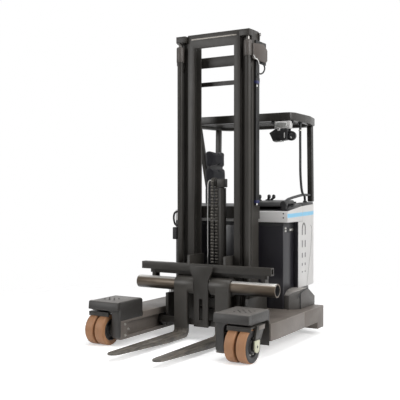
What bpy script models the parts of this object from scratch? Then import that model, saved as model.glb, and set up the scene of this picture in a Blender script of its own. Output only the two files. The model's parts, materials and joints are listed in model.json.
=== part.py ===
"""Reach truck for long loads, with forks on a shaft and steered twin load wheels.

X runs across the truck, with +X on its left. The forks point to -Y and Z is up.
Every Y below is measured from the axle of the load wheels, and the truck as a
whole then moves along Y, so that the origin lies on the floor under the middle
of its overall box. The mast is retracted and lowered, and the forks are level.
"""

import math

import bmesh
import bpy
from mathutils import Matrix, Vector

# Clearances
SEAT = 0.0003
RUN = 0.005
SET_IN = 0.002

# Wheel arms, the two legs in front of the battery
BASE_HALF_WIDTH = 0.847
BASE_TOP = 0.2785
BASE_BOTTOM = 0.063
FASCIA_BOTTOM = 0.130
BASE_REAR_Y = 1.543
ARM_INNER_X = 0.495
ARM_FRONT_Y = -0.030
ARM_REAR_Y = 1.050
RAIL_WIDTH = 0.070
RAIL_TOP = 0.235
TRACK_DEPTH = 0.050
TRACK_BOTTOM = 0.093
TRACK_TOP = 0.215
TRACK_FRONT_Y = 0.070
FOOT_FRONT_Y = 1.388
FOOT_WIDTH = 0.230
FLANK_SET_IN = 0.012
FLANK_LENGTH = 0.120

# Covers over the load wheels
COVER_OUTER_X = 0.8295
COVER_FRONT_Y = -0.054
COVER_REAR_Y = 0.3245
COVER_TOP = 0.409
COVER_WALL = 0.014
COVER_ROUND = 0.022
SKIRT_BOTTOM = 0.322
SKIRT_ROUND = 0.045
LEG_FACE_WIDTH = 0.085
LEG_FACE_BOTTOM = 0.078
REAR_WALL_BOTTOM = 0.095

# Twin load wheels and the bogies that steer them
LOAD_WHEEL_X = 0.7251
LOAD_WHEEL_RADIUS = 0.1425
LOAD_TYRE_WIDTH = 0.100
LOAD_TYRE_GAP = 0.010
LOAD_HUB_RADIUS = 0.098
LOAD_AXLE_RADIUS = 0.025
BOGIE_PIVOT_Y = 0.120
BOGIE_ARM_THICKNESS = 0.022
BOGIE_CROWN_THICKNESS = 0.016
BOGIE_CROWN_RADIUS = 0.080
AXLE_CAP_RADIUS = 0.036
AXLE_CAP_THICKNESS = 0.010
BEARING_RADIUS = 0.085
BEARING_HEIGHT = 0.050

# Rear frame, battery and body
BODY_HALF_WIDTH = 0.612
BATTERY_FRONT_Y = 1.0846
BATTERY_LENGTH = 0.365
BATTERY_TOP = 1.1159
HOOD_FRONT_TOP = 1.228
HOOD_REAR_TOP = 1.292
FLOOR_TOP = 0.460
FLOOR_THICKNESS = 0.015
HOUSING_BOTTOM = 0.120
HOUSING_WALL = 0.014
REAR_END_Y = 2.080
TAPER_START_Y = 1.600
TAPER_END_Y = 1.950
TAPER_HALF_WIDTH = 0.520
REAR_HALF_WIDTH = 0.400
PANEL_THICKNESS = 0.025
PANEL_REAR_TOP = 1.307
RIGHT_WALL_TOP = 0.860
FENDER_OUTER_X = 0.7555
FENDER_FRONT_Y = 1.100
FENDER_CHAMFER = 0.085
FENDER_FRONT_TOP = 0.408
FENDER_TOP = 0.468
FENDER_REAR_TOP = 0.366

# Drive wheel
DRIVE_WHEEL_RADIUS = 0.1715
DRIVE_TYRE_WIDTH = 0.100
DRIVE_Y = 1.780
DRIVE_FLANGE_RADIUS = 0.130
DRIVE_FLANGE_TOP = 0.400
DRIVE_AXLE_RADIUS = 0.0485

# Mast, three nested stages of channel section
MAST_TOP = 2.955
OUTER_BOTTOM = 0.120
MIDDLE_BOTTOM = 0.130
INNER_BOTTOM = 0.140
INNER_FRONT_Y = 0.803
INNER_DEPTH = 0.152
INNER_OUTER_X = 0.291
INNER_FLANGE = 0.069
NESTED_FLANGE = 0.044
NEST_GAP = 0.005
MIDDLE_FRONT_Y = 0.845
OUTER_FRONT_Y = 0.850
NESTED_DEPTH = 0.150
CHANNEL_WEB = 0.012
CHANNEL_FLANGE = 0.014
TIE_THICKNESS = 0.025
INNER_TIE_BOTTOM = 2.820
MIDDLE_TIE_BOTTOM = 2.650
MIDDLE_TIE_HEIGHT = 0.100
MIDDLE_PLATE_BOTTOM = 0.380
MIDDLE_PLATE_HEIGHT = 0.120
OUTER_TIE_BOTTOM = 2.470
OUTER_TIE_HEIGHT = 0.042

# Lift cylinders beside the mast
LIFT_CYLINDER_X = 0.374
LIFT_CYLINDER_Y = 0.796
LIFT_BARREL_RADIUS = 0.030
LIFT_HEAD_RADIUS = 0.036
LIFT_HEAD_BOTTOM = 2.700
LIFT_HEAD_TOP = 2.845
LIFT_FOOT_TOP = 0.160
LIFT_ROD_RADIUS = 0.0175
LIFT_ROD_BOTTOM = 0.300
ROD_BRACKET_BOTTOM = 2.885

# Free-lift cylinder in the middle of the mast, with its chain
FREE_LIFT_X = 0.045
FREE_LIFT_Y = 0.895
FREE_BARREL_RADIUS = 0.040
FREE_BARREL_TOP = 1.450
FREE_ROD_RADIUS = 0.022
FREE_ROD_BOTTOM = 0.350
PULLEY_X = -0.033
PULLEY_Y = 0.890
PULLEY_Z = 1.505
PULLEY_RADIUS = 0.036
CHAIN_WIDTH = 0.050
CHAIN_THICKNESS = 0.010
CHAIN_FRONT_BOTTOM = 0.340
CHAIN_REAR_BOTTOM = 0.290
SILL_TOP = 0.260

# Reach carriage, which carries the mast between the wheel arms
REACH_PLATE_X = 0.425
REACH_PLATE_THICKNESS = 0.030
REACH_FRONT_Y = 0.650
REACH_REAR_Y = 1.050
REACH_TOP = 0.420
REACH_BOTTOM = 0.100
REACH_ROLLER_FRONT_Y = 0.700
REACH_ROLLER_REAR_Y = 0.980
REACH_SHAFT_RADIUS = 0.020

# Fork carriage, fork shaft and forks
BEAM_HALF_WIDTH = 0.706
BEAM_FRONT_Y = 0.603
BEAM_BOTTOM = 0.652
BEAM_TOP = 0.723
BEAM_DEPTH = 0.062
BEAM_WALL = 0.012
BACK_BAR_HALF_WIDTH = 0.640
BACK_BAR_BOTTOM = 0.612
BACK_BAR_TOP = 0.681
BACK_BAR_REAR_Y = 0.700
CARRIAGE_PLATE_X = 0.185
CARRIAGE_PLATE_THICKNESS = 0.028
CARRIAGE_PLATE_BOTTOM = 0.280
CARRIAGE_PLATE_TOP = 0.800
CARRIAGE_ROLLER_LOW_Z = 0.350
CARRIAGE_ROLLER_HIGH_Z = 0.730
SHAFT_HALF_LENGTH = 0.754
SHAFT_RADIUS = 0.0625
SHAFT_WALL = 0.012
SHAFT_Y = 0.639
SHAFT_Z = 0.520
SADDLE_X = 0.620
SADDLE_THICKNESS = 0.040
SADDLE_REAR_Y = 0.735
CENTRE_PLATE_TOP = 0.710
CENTRE_PLATE_TOP_HALF_WIDTH = 0.125
CENTRE_PLATE_HALF_WIDTH = 0.077
CENTRE_PLATE_BOTTOM = 0.135
CENTRE_PLATE_THICKNESS = 0.020
HEEL_BAR_HALF_WIDTH = 0.470
HEEL_BAR_BOTTOM = 0.140
HEEL_BAR_TOP = 0.200
HEEL_BAR_THICKNESS = 0.025
FORK_INNER_X = 0.155
FORK_OUTER_X = 0.296
FORK_HUB_INNER_X = 0.083
FORK_HUB_RADIUS = 0.085
FORK_THICKNESS = 0.045
FORK_TIP_THICKNESS = 0.012
FORK_TOP = 0.070
FORK_FRONT_Y = 0.555
FORK_TIP_Y = -0.555
FORK_HEEL_ROUND = 0.070

# Hose run on the left side of the mast
HOSE_FRONT_Y = 0.900
HOSE_REAR_Y = 0.970
HOSE_BOTTOM = 1.286
HOSE_THICKNESS = 0.026
HOSE_COVER_FRONT_Y = 0.912
HOSE_COVER_REAR_Y = 1.136
HOSE_COVER_BOTTOM = 2.649
HOSE_COVER_TOP = 2.862

# Overhead guard
GUARD_TOP = 2.190
GUARD_DEPTH = 0.090
GUARD_FRONT_DEPTH = 0.130
GUARD_FRONT_Y = 1.253
GUARD_HALF_WIDTH = 0.627
GUARD_TAPER_Y = 1.600
GUARD_REAR_Y = 2.050
GUARD_REAR_HALF_WIDTH = 0.535
GUARD_BEAM = 0.055
GUARD_BAR_WIDTH = 0.014
GUARD_BAR_DEPTH = 0.050
GUARD_BARS = 7
PILLAR_LONG = 0.070
PILLAR_WIDE = 0.045
POST_LEFT_X = 0.200
POST_RIGHT_X = -0.450
POST_FRONT_Y = 1.262
HAND_TUBE_RADIUS = 0.014

# Driver's place
SEAT_BACK_X = -0.400
SEAT_Y = 1.640
SEAT_WIDTH = 0.370
CUSHION_LENGTH = 0.460
CUSHION_BOTTOM = 0.870
CUSHION_THICKNESS = 0.110
BACK_THICKNESS = 0.100
BACK_TOP = 1.560
HEADREST_WIDTH = 0.250
HEADREST_TOP = 1.864
HEADREST_THICKNESS = 0.090

ROUND_FINE = 40
ROUND_PLAIN = 24
ROUND_SMALL = 16

MIDDLE_OUTER_X = INNER_OUTER_X + NEST_GAP + NESTED_FLANGE
OUTER_OUTER_X = MIDDLE_OUTER_X + NEST_GAP + NESTED_FLANGE
BATTERY_REAR_Y = BATTERY_FRONT_Y + BATTERY_LENGTH
REACH_ROLLER_Z = 0.5 * (TRACK_BOTTOM + TRACK_TOP)
REACH_ROLLER_RADIUS = 0.5 * (TRACK_TOP - TRACK_BOTTOM) - SEAT
MIDDLE_OF_TRUCK_Y = 0.5 * (FORK_TIP_Y + REAR_END_Y)

LEFT = 1
RIGHT = -1
SIDES = (("left", LEFT), ("right", RIGHT))


def clear_scene():
    for obj in list(bpy.data.objects):
        bpy.data.objects.remove(obj, do_unlink=True)


def paint(name, colour, roughness, metallic=0.0):
    """A plain painted, metal or rubber finish; the colour is linear red, green and blue."""
    material = bpy.data.materials.new(name)
    material.use_nodes = True
    shader = material.node_tree.nodes["Principled BSDF"]
    shader.inputs["Base Color"].default_value = (*colour, 1.0)
    shader.inputs["Roughness"].default_value = roughness
    shader.inputs["Metallic"].default_value = metallic
    material.diffuse_color = (*colour, 1.0)
    return material


def body(name, pivot, parent):
    """An empty on a moving body's axis; its pivot is in the truck's own lengths."""
    empty = bpy.data.objects.new(name, None)
    bpy.context.collection.objects.link(empty)
    empty.parent = parent
    base = Vector(parent["pivot"]) if parent else Vector()
    empty.location = Vector(pivot) - base
    empty["pivot"] = pivot
    return empty


def raw(mesh_builder):
    """A new unnamed object from a bmesh, with its faces pointing outwards."""
    bmesh.ops.recalc_face_normals(mesh_builder, faces=mesh_builder.faces)
    mesh = bpy.data.meshes.new("blank")
    mesh_builder.to_mesh(mesh)
    mesh_builder.free()
    blank = bpy.data.objects.new("blank", mesh)
    bpy.context.collection.objects.link(blank)
    return blank


def block(x, y, z):
    """A box between the two values of each of x, y and z."""
    low = Vector((min(x), min(y), min(z)))
    high = Vector((max(x), max(y), max(z)))
    builder = bmesh.new()
    bmesh.ops.create_cube(builder, size=1.0)
    bmesh.ops.scale(builder, vec=high - low, verts=builder.verts)
    bmesh.ops.translate(builder, vec=(low + high) / 2, verts=builder.verts)
    return raw(builder)


def prism(outline, axis, start, end):
    """An outline swept along an axis; it lists the other two coordinates, in the order of XYZ."""
    place = {
        "X": lambda a, b: Vector((start, a, b)),
        "Y": lambda a, b: Vector((a, start, b)),
        "Z": lambda a, b: Vector((a, b, start)),
    }[axis]
    travel = {"X": Vector((1, 0, 0)), "Y": Vector((0, 1, 0)), "Z": Vector((0, 0, 1))}[axis]
    builder = bmesh.new()
    face = builder.faces.new([builder.verts.new(place(a, b)) for a, b in outline])
    swept = bmesh.ops.extrude_face_region(builder, geom=[face])
    moved = [item for item in swept["geom"] if isinstance(item, bmesh.types.BMVert)]
    bmesh.ops.translate(builder, vec=travel * (end - start), verts=moved)
    return raw(builder)


def turned(profile, centre, axis, segments=ROUND_PLAIN):
    """A closed profile of (radius, distance along the axis) turned once about the axis."""
    builder = bmesh.new()
    rings = []
    for radius, along in profile:
        if radius == 0:
            rings.append([builder.verts.new((0, 0, along))])
            continue
        ring = []
        for step in range(segments):
            angle = 2 * math.pi * step / segments
            ring.append(builder.verts.new((radius * math.cos(angle), radius * math.sin(angle), along)))
        rings.append(ring)
    for ring, following in zip(rings, rings[1:] + rings[:1]):
        if len(ring) == 1 and len(following) == 1:
            continue
        for step in range(segments):
            after = (step + 1) % segments
            corners = [
                ring[step % len(ring)],
                ring[after % len(ring)],
                following[after % len(following)],
                following[step % len(following)],
            ]
            builder.faces.new(list(dict.fromkeys(corners)))
    direction = {"X": Vector((1, 0, 0)), "Y": Vector((0, 1, 0)), "Z": Vector((0, 0, 1))}[axis]
    turn = Vector((0, 0, 1)).rotation_difference(direction).to_matrix().to_4x4()
    bmesh.ops.transform(builder, matrix=Matrix.Translation(centre) @ turn, verts=builder.verts)
    return raw(builder)


def disc(centre, axis, radius, start, end, segments=ROUND_PLAIN):
    """A round bar along an axis, between start and end measured from its centre point."""
    return turned([(0, start), (radius, start), (radius, end), (0, end)], centre, axis, segments)


def bore_for(radius, segments=ROUND_PLAIN):
    """The radius of a faceted bore whose flats clear a round bar by a seat's gap."""
    return (radius + SEAT) / math.cos(math.pi / segments)


def ring(centre, axis, outer, inner, start, end, segments=ROUND_PLAIN):
    """A tube along an axis."""
    profile = [(inner, start), (outer, start), (outer, end), (inner, end)]
    return turned(profile, centre, axis, segments)


def bar(start, end, radius, segments=ROUND_SMALL):
    """A round bar between two points."""
    start = Vector(start)
    end = Vector(end)
    builder = bmesh.new()
    bmesh.ops.create_cone(
        builder,
        cap_ends=True,
        segments=segments,
        radius1=radius,
        radius2=radius,
        depth=(end - start).length,
    )
    turn = Vector((0, 0, 1)).rotation_difference(end - start).to_matrix().to_4x4()
    bmesh.ops.transform(
        builder, matrix=Matrix.Translation((start + end) / 2) @ turn, verts=builder.verts
    )
    return raw(builder)


def bent_tube(points, radius, resolution=1):
    """A round tube along a smooth curve through a few points."""
    curve = bpy.data.curves.new("route", "CURVE")
    curve.dimensions = "3D"
    curve.resolution_u = 4
    curve.bevel_depth = radius
    curve.bevel_resolution = resolution
    curve.use_fill_caps = True
    spline = curve.splines.new("BEZIER")
    spline.bezier_points.add(len(points) - 1)
    for knot, point in zip(spline.bezier_points, points):
        knot.co = point
        knot.handle_left_type = "AUTO"
        knot.handle_right_type = "AUTO"
    route = bpy.data.objects.new("route", curve)
    bpy.context.collection.objects.link(route)
    solid = bake(route)
    bpy.data.objects.remove(route)
    builder = bmesh.new()
    builder.from_mesh(solid.data)
    bpy.data.objects.remove(solid)
    bmesh.ops.remove_doubles(builder, verts=builder.verts, dist=1e-6)
    return raw(builder)


def bake(obj):
    """Replaces an object's data by its evaluated mesh; a curve gets a new mesh object."""
    bpy.context.view_layer.update()
    graph = bpy.context.evaluated_depsgraph_get()
    mesh = bpy.data.meshes.new_from_object(obj.evaluated_get(graph))
    if obj.type == "CURVE":
        blank = bpy.data.objects.new("blank", mesh)
        bpy.context.collection.objects.link(blank)
        return blank
    obj.modifiers.clear()
    obj.data = mesh
    return obj


def combine(obj, others, operation):
    for other in others:
        modifier = obj.modifiers.new(operation.lower(), "BOOLEAN")
        modifier.operation = operation
        modifier.object = other
        bake(obj)
        bpy.data.objects.remove(other)
    return obj


def fused(obj, *others):
    return combine(obj, others, "UNION")


def cut(obj, *others):
    return combine(obj, others, "DIFFERENCE")


def common(obj, *others):
    return combine(obj, others, "INTERSECT")


def rounded(obj, width, segments=3, angle=30):
    """Rounds every edge sharper than an angle."""
    bevel = obj.modifiers.new("round", "BEVEL")
    bevel.width = width
    bevel.segments = segments
    bevel.limit_method = "ANGLE"
    bevel.angle_limit = math.radians(angle)
    return bake(obj)


def mirrored(obj, keep=False):
    """The same shape on the truck's other side, in place of the first one unless that is kept."""
    builder = bmesh.new()
    builder.from_mesh(obj.data)
    bmesh.ops.scale(builder, vec=(-1, 1, 1), verts=builder.verts)
    bmesh.ops.reverse_faces(builder, faces=builder.faces)
    copy = bpy.data.objects.new("blank", bpy.data.meshes.new("blank"))
    builder.to_mesh(copy.data)
    builder.free()
    bpy.context.collection.objects.link(copy)
    if not keep:
        bpy.data.objects.remove(obj)
    return copy


def place(obj, name, owner, material):
    """Names a finished piece and hangs it on its body, with its origin on the body's pivot."""
    obj.name = name
    obj.data.name = name
    obj.data.transform(Matrix.Translation(-Vector(owner["pivot"])))
    obj.parent = owner
    obj.data.materials.clear()
    obj.data.materials.append(material)
    obj.data.shade_smooth()
    obj.data.set_sharp_from_angle(angle=math.radians(30))
    return obj


def place_pair(obj, name, owners, material):
    """The left piece as built and its mirror image on the right, each on its own body."""
    other = mirrored(obj, keep=True)
    place(obj, f"{name}_left", owners[LEFT], material)
    place(other, f"{name}_right", owners[RIGHT], material)


def arc(centre, radius, start, end, steps=6):
    """Points on an arc, with its angles in degrees."""
    points = []
    for step in range(steps + 1):
        angle = math.radians(start + (end - start) * step / steps)
        points.append((centre[0] + radius * math.cos(angle), centre[1] + radius * math.sin(angle)))
    return points


def wheel_arm():
    """The left arm: an inner channel that guides the reach rollers, and a box behind the wheels."""
    rail_outer_x = ARM_INNER_X + RAIL_WIDTH
    flank_x = BASE_HALF_WIDTH - FLANK_SET_IN
    rail = block((ARM_INNER_X, rail_outer_x), (ARM_FRONT_Y, ARM_REAR_Y), (BASE_BOTTOM, RAIL_TOP))
    flank = prism(
        [
            (ARM_INNER_X, COVER_REAR_Y + SEAT),
            (flank_x, COVER_REAR_Y + SEAT),
            (BASE_HALF_WIDTH, COVER_REAR_Y + FLANK_LENGTH),
            (BASE_HALF_WIDTH, ARM_REAR_Y),
            (ARM_INNER_X, ARM_REAR_Y),
        ],
        "Z",
        FASCIA_BOTTOM,
        BASE_TOP,
    )
    track = block(
        (ARM_INNER_X - RUN, ARM_INNER_X + TRACK_DEPTH),
        (TRACK_FRONT_Y, ARM_REAR_Y + RUN),
        (TRACK_BOTTOM, TRACK_TOP),
    )
    return cut(fused(rail, flank), track)


def rear_frame():
    """The plate frame under the battery, with a foot at each rear corner."""
    frame = block(
        (-BASE_HALF_WIDTH, BASE_HALF_WIDTH),
        (ARM_REAR_Y + SEAT, BASE_REAR_Y),
        (FASCIA_BOTTOM, BASE_TOP),
    )
    feet = []
    for side in (LEFT, RIGHT):
        feet.append(
            block(
                (side * BASE_HALF_WIDTH, side * (BASE_HALF_WIDTH - FOOT_WIDTH)),
                (FOOT_FRONT_Y, BASE_REAR_Y),
                (BASE_BOTTOM, FASCIA_BOTTOM + RUN),
            )
        )
    return fused(frame, *feet)


def wheel_cover():
    """The left cover: a rounded lid with a short skirt outside and in front, and a leg face inside."""
    shell = block(
        (ARM_INNER_X, COVER_OUTER_X), (COVER_FRONT_Y, COVER_REAR_Y), (LEG_FACE_BOTTOM, COVER_TOP)
    )
    shell = rounded(shell, COVER_ROUND, 3)
    inside = block(
        (ARM_INNER_X + RAIL_WIDTH - SET_IN, COVER_OUTER_X - COVER_WALL),
        (COVER_FRONT_Y + COVER_WALL, COVER_REAR_Y - COVER_WALL),
        (0, COVER_TOP - COVER_WALL),
    )
    skirt_outline = [
        (COVER_FRONT_Y - RUN, 0),
        (COVER_REAR_Y - COVER_WALL, 0),
        (COVER_REAR_Y - COVER_WALL, SKIRT_BOTTOM - SKIRT_ROUND),
        *arc(
            (COVER_REAR_Y - COVER_WALL - SKIRT_ROUND, SKIRT_BOTTOM - SKIRT_ROUND),
            SKIRT_ROUND,
            0,
            90,
        )[1:],
        (COVER_FRONT_Y - RUN, SKIRT_BOTTOM),
    ]
    side_mouth = prism(skirt_outline, "X", COVER_OUTER_X - 2 * COVER_WALL, COVER_OUTER_X + RUN)
    face_x = ARM_INNER_X + LEG_FACE_WIDTH
    front_mouth = prism(
        [
            (COVER_OUTER_X + RUN, 0),
            (COVER_OUTER_X + RUN, SKIRT_BOTTOM),
            *arc((face_x + SKIRT_ROUND, SKIRT_BOTTOM - SKIRT_ROUND), SKIRT_ROUND, 90, 180),
            (face_x, 0),
        ],
        "Y",
        COVER_FRONT_Y - RUN,
        COVER_FRONT_Y + 2 * COVER_WALL,
    )
    rail_slot = block(
        (ARM_INNER_X - RUN, ARM_INNER_X + RAIL_WIDTH + SEAT),
        (ARM_FRONT_Y - SEAT, COVER_REAR_Y + RUN),
        (0, RAIL_TOP + SEAT),
    )
    rear_slot = block(
        (ARM_INNER_X, COVER_OUTER_X + RUN),
        (COVER_REAR_Y - 2 * COVER_WALL, COVER_REAR_Y + RUN),
        (0, REAR_WALL_BOTTOM),
    )
    bearing = disc(
        (LOAD_WHEEL_X, BOGIE_PIVOT_Y, 0),
        "Z",
        BEARING_RADIUS,
        COVER_TOP - COVER_WALL - BEARING_HEIGHT,
        COVER_TOP - COVER_WALL / 2,
    )
    return fused(cut(shell, inside, side_mouth, front_mouth, rail_slot, rear_slot), bearing)


def bogie():
    """The left bogie: a crown under the bearing and a tapering arm on each side of the wheels."""
    bearing_bottom = COVER_TOP - COVER_WALL - BEARING_HEIGHT
    crown_bottom = LOAD_WHEEL_RADIUS * 2 + 2 * RUN
    crown_top = crown_bottom + BOGIE_CROWN_THICKNESS
    arm_inner = LOAD_TYRE_WIDTH + LOAD_TYRE_GAP / 2 + RUN
    arm_outer = arm_inner + BOGIE_ARM_THICKNESS
    crown = block(
        (LOAD_WHEEL_X - arm_outer, LOAD_WHEEL_X + arm_outer),
        (0.02, BOGIE_PIVOT_Y + 0.045),
        (crown_bottom, crown_top),
    )
    ring_top = disc(
        (LOAD_WHEEL_X, BOGIE_PIVOT_Y, 0),
        "Z",
        BOGIE_CROWN_RADIUS,
        crown_bottom + 0.002,
        bearing_bottom - SEAT,
    )
    arm_outline = [
        (BOGIE_PIVOT_Y + 0.045, crown_top - 0.001),
        (0.02, crown_top - 0.001),
        *arc((0, LOAD_WHEEL_RADIUS), 0.042, 170, 300, 6),
    ]
    arms = []
    for side in (LEFT, RIGHT):
        edges = sorted((LOAD_WHEEL_X + side * arm_inner, LOAD_WHEEL_X + side * arm_outer))
        arms.append(prism(arm_outline, "X", *edges))
    spindle = disc(
        (LOAD_WHEEL_X, 0, LOAD_WHEEL_RADIUS),
        "X",
        LOAD_AXLE_RADIUS,
        -arm_inner - 0.004,
        arm_inner + 0.004,
        ROUND_SMALL,
    )
    cap = disc(
        (LOAD_WHEEL_X, 0, LOAD_WHEEL_RADIUS),
        "X",
        AXLE_CAP_RADIUS,
        arm_outer - 0.002,
        arm_outer + AXLE_CAP_THICKNESS,
    )
    return fused(crown, ring_top, *arms, spindle, cap)


def load_tyre(centre_x):
    half = LOAD_TYRE_WIDTH / 2
    profile = [
        (LOAD_HUB_RADIUS + SEAT, -half),
        (LOAD_WHEEL_RADIUS - 0.010, -half),
        (LOAD_WHEEL_RADIUS - 0.003, -half + 0.004),
        (LOAD_WHEEL_RADIUS, -half + 0.012),
        (LOAD_WHEEL_RADIUS, half - 0.012),
        (LOAD_WHEEL_RADIUS - 0.003, half - 0.004),
        (LOAD_WHEEL_RADIUS - 0.010, half),
        (LOAD_HUB_RADIUS + SEAT, half),
    ]
    return turned(profile, (centre_x, 0, LOAD_WHEEL_RADIUS), "X", ROUND_FINE)


def load_hub():
    """Two rims on one sleeve, which turns on the bogie's spindle."""
    rim = LOAD_TYRE_WIDTH / 2
    offset = (LOAD_TYRE_WIDTH + LOAD_TYRE_GAP) / 2
    bore = bore_for(LOAD_AXLE_RADIUS)
    outer = offset + rim
    profile = [
        (bore, -outer + 0.002),
        (0.055, -outer + 0.002),
        (0.060, -outer + 0.022),
        (0.084, -outer + 0.022),
        (0.088, -outer + 0.002),
        (LOAD_HUB_RADIUS, -outer + 0.002),
        (LOAD_HUB_RADIUS, -offset + rim - 0.002),
        (0.060, -offset + rim - 0.002),
        (0.060, offset - rim + 0.002),
        (LOAD_HUB_RADIUS, offset - rim + 0.002),
        (LOAD_HUB_RADIUS, outer - 0.002),
        (0.088, outer - 0.002),
        (0.084, outer - 0.022),
        (0.060, outer - 0.022),
        (0.055, outer - 0.002),
        (bore, outer - 0.002),
    ]
    return turned(profile, (LOAD_WHEEL_X, 0, LOAD_WHEEL_RADIUS), "X", ROUND_PLAIN)


def drive_tyre():
    half = DRIVE_TYRE_WIDTH / 2
    bore = bore_for(DRIVE_AXLE_RADIUS, ROUND_FINE)
    profile = [
        (bore, -half + 0.010),
        (0.110, -half + 0.010),
        (0.118, -half),
        (DRIVE_WHEEL_RADIUS - 0.010, -half),
        (DRIVE_WHEEL_RADIUS, -half + 0.010),
        (DRIVE_WHEEL_RADIUS, half - 0.010),
        (DRIVE_WHEEL_RADIUS - 0.010, half),
        (0.118, half),
        (0.110, half - 0.010),
        (bore, half - 0.010),
    ]
    return turned(profile, (0, DRIVE_Y, DRIVE_WHEEL_RADIUS), "X", ROUND_FINE)


def drive_unit():
    """The gear case beside the drive wheel, its turning flange and the motor above it."""
    half = DRIVE_TYRE_WIDTH / 2
    case_x = half + RUN
    case = prism(
        [
            *arc((DRIVE_Y, DRIVE_WHEEL_RADIUS), 0.075, 180, 360, 8),
            (DRIVE_Y + 0.090, DRIVE_FLANGE_TOP - 0.060),
            (DRIVE_Y + 0.090, DRIVE_FLANGE_TOP - 0.020),
            (DRIVE_Y - 0.090, DRIVE_FLANGE_TOP - 0.020),
            (DRIVE_Y - 0.090, DRIVE_FLANGE_TOP - 0.060),
        ],
        "X",
        case_x,
        case_x + 0.060,
    )
    flange = disc(
        (0, DRIVE_Y, 0),
        "Z",
        DRIVE_FLANGE_RADIUS,
        2 * DRIVE_WHEEL_RADIUS + RUN,
        DRIVE_FLANGE_TOP - SEAT,
    )
    stub = disc((0, DRIVE_Y, DRIVE_WHEEL_RADIUS), "X", DRIVE_AXLE_RADIUS, -half + 0.012, case_x + 0.002)
    return fused(flange, case, stub)


def battery():
    """The traction battery in its steel case, with a rim round the top and a lifting eye each side."""
    case = block(
        (-BODY_HALF_WIDTH, BODY_HALF_WIDTH),
        (BATTERY_FRONT_Y, BATTERY_REAR_Y),
        (BASE_TOP + SEAT, BATTERY_TOP),
    )
    return rounded(case, 0.006, 2)


def fender():
    """The left cover low on the battery's side, with a cut corner in front and a sloping rear."""
    inner_x = BODY_HALF_WIDTH + 2 * SEAT
    plan = prism(
        [
            (inner_x, FENDER_FRONT_Y),
            (FENDER_OUTER_X - FENDER_CHAMFER - 0.010, FENDER_FRONT_Y),
            (FENDER_OUTER_X - 0.008, FENDER_FRONT_Y + FENDER_CHAMFER),
            (FENDER_OUTER_X, BASE_REAR_Y - RUN),
            (inner_x, BASE_REAR_Y - RUN),
        ],
        "Z",
        BASE_TOP + SEAT,
        FENDER_TOP + RUN,
    )
    side = prism(
        [
            (FENDER_FRONT_Y - RUN, 0.2),
            (FENDER_FRONT_Y - RUN, FENDER_FRONT_TOP),
            (FENDER_FRONT_Y + 0.030, FENDER_FRONT_TOP + 0.030),
            (FENDER_FRONT_Y + 0.090, FENDER_TOP - 0.006),
            (FENDER_FRONT_Y + 0.160, FENDER_TOP),
            (FENDER_FRONT_Y + 0.270, FENDER_TOP - 0.004),
            (BASE_REAR_Y, FENDER_REAR_TOP),
            (BASE_REAR_Y, 0.2),
        ],
        "X",
        0.5,
        0.9,
    )
    return common(plan, side)


def hood():
    """The moulded hood on the battery, which rises towards the driver."""
    outline = [
        (BATTERY_FRONT_Y, BATTERY_TOP + SEAT),
        (BATTERY_FRONT_Y, HOOD_FRONT_TOP - 0.020),
        (BATTERY_FRONT_Y + 0.010, HOOD_FRONT_TOP - 0.004),
        (BATTERY_FRONT_Y + 0.030, HOOD_FRONT_TOP + 0.006),
        (BATTERY_FRONT_Y + 0.160, HOOD_FRONT_TOP + 0.035),
        (BATTERY_REAR_Y, HOOD_REAR_TOP),
        (BATTERY_REAR_Y, BATTERY_TOP + SEAT),
    ]
    return rounded(prism(outline, "X", -BODY_HALF_WIDTH, BODY_HALF_WIDTH), 0.006, 2)


def body_side_line(inset):
    """The plan of the tapering rear body from the battery back to the rear corner, left side."""
    return [
        (BODY_HALF_WIDTH - inset, BATTERY_REAR_Y + SEAT),
        (BODY_HALF_WIDTH - inset, TAPER_START_Y),
        (TAPER_HALF_WIDTH + 0.045 - inset, TAPER_START_Y + 0.190),
        (TAPER_HALF_WIDTH - inset, TAPER_END_Y),
        (TAPER_HALF_WIDTH - 0.040 - inset, TAPER_END_Y + 0.070),
    ]


def body_wall(top):
    """A side wall of the driver's place as on the left, which tapers in towards the rear."""
    outer = body_side_line(0)
    inner = body_side_line(PANEL_THICKNESS)
    return prism(outer + inner[::-1], "Z", FLOOR_TOP + SEAT, top)


def body_panel_left():
    """The tall left wall, whose top runs on from the hood."""
    wall = body_wall(PANEL_REAR_TOP)
    side = prism(
        [
            (1.0, 0.1),
            (1.0, HOOD_REAR_TOP - 0.02),
            (BATTERY_REAR_Y, HOOD_REAR_TOP),
            (TAPER_START_Y, PANEL_REAR_TOP - 0.004),
            (TAPER_END_Y, PANEL_REAR_TOP - 0.004),
            (2.2, PANEL_REAR_TOP - 0.030),
            (2.2, 0.1),
        ],
        "X",
        0.2,
        0.9,
    )
    return common(wall, side)


def body_panel_right():
    """The low right wall behind the seat."""
    return mirrored(body_wall(RIGHT_WALL_TOP))


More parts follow.
